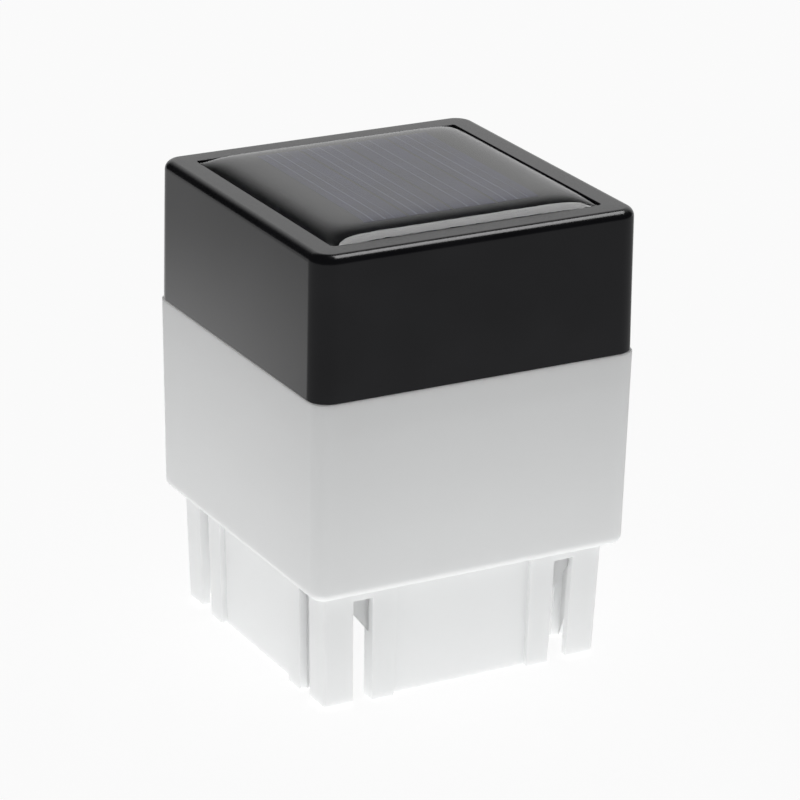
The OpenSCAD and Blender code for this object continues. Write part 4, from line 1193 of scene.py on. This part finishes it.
board = {
    # solder cone, as radius and height
    "joint": ((0, 0), (0.95, 0), (0.62, 0.12), (0.4, 0.4), (0.28, 0.72), (0, 0.8)),
    "jointSides": 24,
    "leadEnds": ((-9, 10.5), (8, 8.5), (14.5, 6.5), (-14.5, 6.5)),   # x, y in mm
    "legPitch": 2.54,
    "trackWidth": 0.45, "trackRise": 0.035, "trackSink": 0.01,
    "tracks": (             # x, y in mm from the part's middle
        ((-9.2, 12), (-6, 12), (-3.3, 9.3), (-1.9, 9.3)),
        ((-9, 10.5), (-7, 8.5), (-0.6, 8.5), (-0.6, 9.3)),
        ((8, 8.5), (3, 8.5), (2.2, 9.3), (1.9, 9.3)),
        ((-5, 16.8), (-3.2, 15), (-1.9, 15), (-1.9, 14.6)),
        ((5, 16.8), (8, 16.8), (11.8, 13), (11.8, 12)),
        ((14.5, 6.5), (13.8, 5.8), (3, 5.8), (0.6, 8.2), (0.6, 9.3)),
        ((-14.5, 6.5), (-18.6, 10.6), (-18.6, 17.6), (-17.6, 18.6), (17.6, 18.6), (18.6, 17.6)),
        ((-11.8, 12), (-11.8, 14.6), (-8.6, 17.8), (1, 17.8), (1.9, 16.9), (1.9, 14.6)),
        ((9.2, 12), (5.4, 12), (4.4, 13), (4.4, 14.6), (0.6, 14.6)),
    ),
}


def makeChip(c):
    length, width, height = c["size"]
    low = pcbHigh.z + c["foot"]
    bm = bmesh.new()
    block(bm, (-length / 2, pcbMiddle - width / 2, low),
          (length / 2, pcbMiddle + width / 2, low + height))
    piece = newPiece("chipBody", bm, paints["chip"])
    ease(piece, c["round"])
    radius, depth, inset = c["dot"]
    bm = bmesh.new()
    lathe(bm, [(0, -depth), (radius, -depth), (radius, 2 * depth), (0, 2 * depth)],
          c["dotSides"])
    bmesh.ops.translate(bm, verts=bm.verts,
                        vec=(inset - length / 2, pcbMiddle + inset - width / 2, low + height))
    carve(piece, bm)
    smooth(piece)
    fitted(piece, "cap", "chip_resin", "controller_chip")

    # gull-wing pins, each a bent strip from the body's side down to the board
    half = c["pinWidth"] / 2
    for side, name in ((1, "chipPinsRear"), (-1, "chipPinsFront")):
        bm = bmesh.new()
        skin(bm, [[(x, side * y, z) for y, z in c["pin"]] for x in (-half, half)])
        places = [((i - (c["pins"] - 1) / 2) * c["pinPitch"], pcbMiddle + side * width / 2,
                   pcbHigh.z - c["pinSink"]) for i in range(c["pins"])]
        fitted(repeat(name, bm, places, "tinned"), "cap", "tinned_wire", "controller_chip")


def makeChoke(c):
    half, r = c["length"] / 2, c["width"] / 2
    axis = chokeHigh.z - r
    thin, soft, slope = r * c["waist"], c["round"], c["waistSlope"]
    bm = bmesh.new()
    lathe(bm, softProfile([(0, -half, 0), (r, -half, c["endRound"]), (r, -half / 3, soft),
                           (thin, slope - half / 3, soft), (thin, half / 3 - slope, soft),
                           (r, half / 3, soft), (r, half, c["endRound"]), (0, half, 0)], 5))
    alongX(bm, 0, Vector((0, chokeMiddle, axis)))
    fitted(drawn("chokeBody", bm, "lacquer"), "cap", "green_lacquer", "choke_coil")

    reach, bend = half + c["wireOut"], c["wireBend"]
    bm = bmesh.new()
    for side in (-1, 1):
        path = [(half - c["wireIn"], axis)]
        for i in range(c["bendSteps"] + 1):
            angle = math.pi / 2 * i / c["bendSteps"]
            path.append((reach - bend + bend * math.sin(angle),
                         axis - bend + bend * math.cos(angle)))
        path.append((reach, pcbHigh.z))
        tube(bm, [Vector((side * x, chokeMiddle, z)) for x, z in path], c["wire"] / 2,
             c["wireSides"], Vector((0, 1, 0)))
    fitted(drawn("chokeWires", bm, "tinned"), "cap", "tinned_wire", "choke_coil")


def makeTracks(b):
    # copper tracks that stand out a little under the mask
    bm = bmesh.new()
    for track in b["tracks"]:
        for start, end in zip(track, track[1:]):
            start, end = Vector(start), Vector(end)
            along = (end - start).normalized() * b["trackWidth"] / 2
            side = Vector((-along.y, along.x))
            corners = (start - along - side, end + along - side, end + along + side,
                       start - along + side)
            prism(bm, [tuple(corner) for corner in corners], pcbHigh.z - b["trackSink"],
                  pcbHigh.z + b["trackRise"])
    fitted(drawn("boardTracks", bm, "track"), "cap", "board_laminate")


def makeJoints(b):
    # solder on every wire that goes through the board
    lampX = lampsHigh.x - lamp["flange"] / 2
    chokeX = choke["length"] / 2 + choke["wireOut"]
    places = [(side * lampX + way * b["legPitch"] / 2, pcbMiddle)
              for side in (-1, 1) for way in (-1, 1)]
    places += list(b["leadEnds"])
    places += [(side * chokeX, chokeMiddle) for side in (-1, 1)]
    bm = bmesh.new()
    lathe(bm, b["joint"], b["jointSides"])
    joints = repeat("solderJoints", bm, [(x, y, pcbHigh.z) for x, y in places], "solder")
    fitted(joints, "cap", "tinned_wire")


makeChip(chip)
makeChoke(choke)
makeTracks(board)
makeJoints(board)
print("board parts made")


# leads

platesLow, platesHigh = nodeBox("contact_plate")

leads = {"diameter": 1.2, "sides": 16, "steps": 10, "solderDown": 1}


def between(a, b, c, d, t):
    # point on a smooth curve from b to c
    return 0.5 * (2 * b + (c - a) * t + (2 * a - 5 * b + 4 * c - d) * t ** 2
                  + (3 * b - a - 3 * c + d) * t ** 3)


def makeLead(bm, route, side, p):
    points = [Vector(point) for point in route]
    path = [points[0]]
    for i in range(1, len(points) - 2):
        path += [between(points[i - 1], points[i], points[i + 1], points[i + 2], s / p["steps"])
                 for s in range(p["steps"])]
    path += points[-2:]
    tube(bm, path, p["diameter"] / 2, p["sides"], Vector(side))


def makeLeads(p):
    # from the panel to the board, and from each contact to the board, the black one mirrored
    top, foot, right = pcbHigh.z, boardLow.z, platesLow.x
    solder = platesHigh.z - p["solderDown"]
    cellY = (sleeveLow.y + sleeveHigh.y) / 2
    fromContact = [(right, cellY, solder), (right - 1.5, cellY, solder), (14, -8.5, solder + 0.5),
                   (13, -3, solder - 1), (14, 3, top + 5), (14.5, 6.5, top + 3),
                   (14.5, 6.5, top + 1.5), (14.5, 6.5, top)]
    for name, paint, slot, node, way, fromPanel in (
            ("redLeads", "red", "red_insulation", "red_leads", 1,
             [(-2, 9, foot), (-2, 9, foot - 3), (-3, 9.5, foot - 7), (-7, 10.5, top + 8),
              (-9, 10.5, top + 4), (-9, 10.5, top + 1.5), (-9, 10.5, top)]),
            ("blackLeads", "black", "black_insulation", "black_leads", -1,
             [(2, 9, foot), (2, 9, foot - 3), (2.5, 9.5, foot - 6), (5.5, 9, top + 8.5),
              (8, 8.5, top + 4), (8, 8.5, top + 1.5), (8, 8.5, top)])):
        bm = bmesh.new()
        makeLead(bm, fromPanel, (0, 1, 0), p)
        makeLead(bm, [(way * x, y, z) for x, y, z in fromContact], (0, 1, 1), p)
        fitted(drawn(name, bm, paint), "cap", slot, node)


makeLeads(leads)
print("leads made")


# CAD nodes that keep their shape and get their real finish

finishes = {
    "panel_tape": "foam", "panel_board": "laminate", "solar_cells": "silicon",
    "circuit_board": "mask", "lamp_legs": "tinned", "contact_plate": "nickel",
    "contact_spring": "nickel",
}
for name, paint in finishes.items():
    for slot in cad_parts[name].material_slots:
        slot.material = paints[paint]


# switch

switch = {"ease": 0.1, "easeFrom": 35}

eased("switch_can", "switchCan", "zinc", switch["ease"], switch["easeFrom"], "cap", "zinc_steel")
eased("switch_knob", "switchKnob", "nylon", switch["ease"], switch["easeFrom"], "switch_knob",
      "black_nylon")
print("switch made")
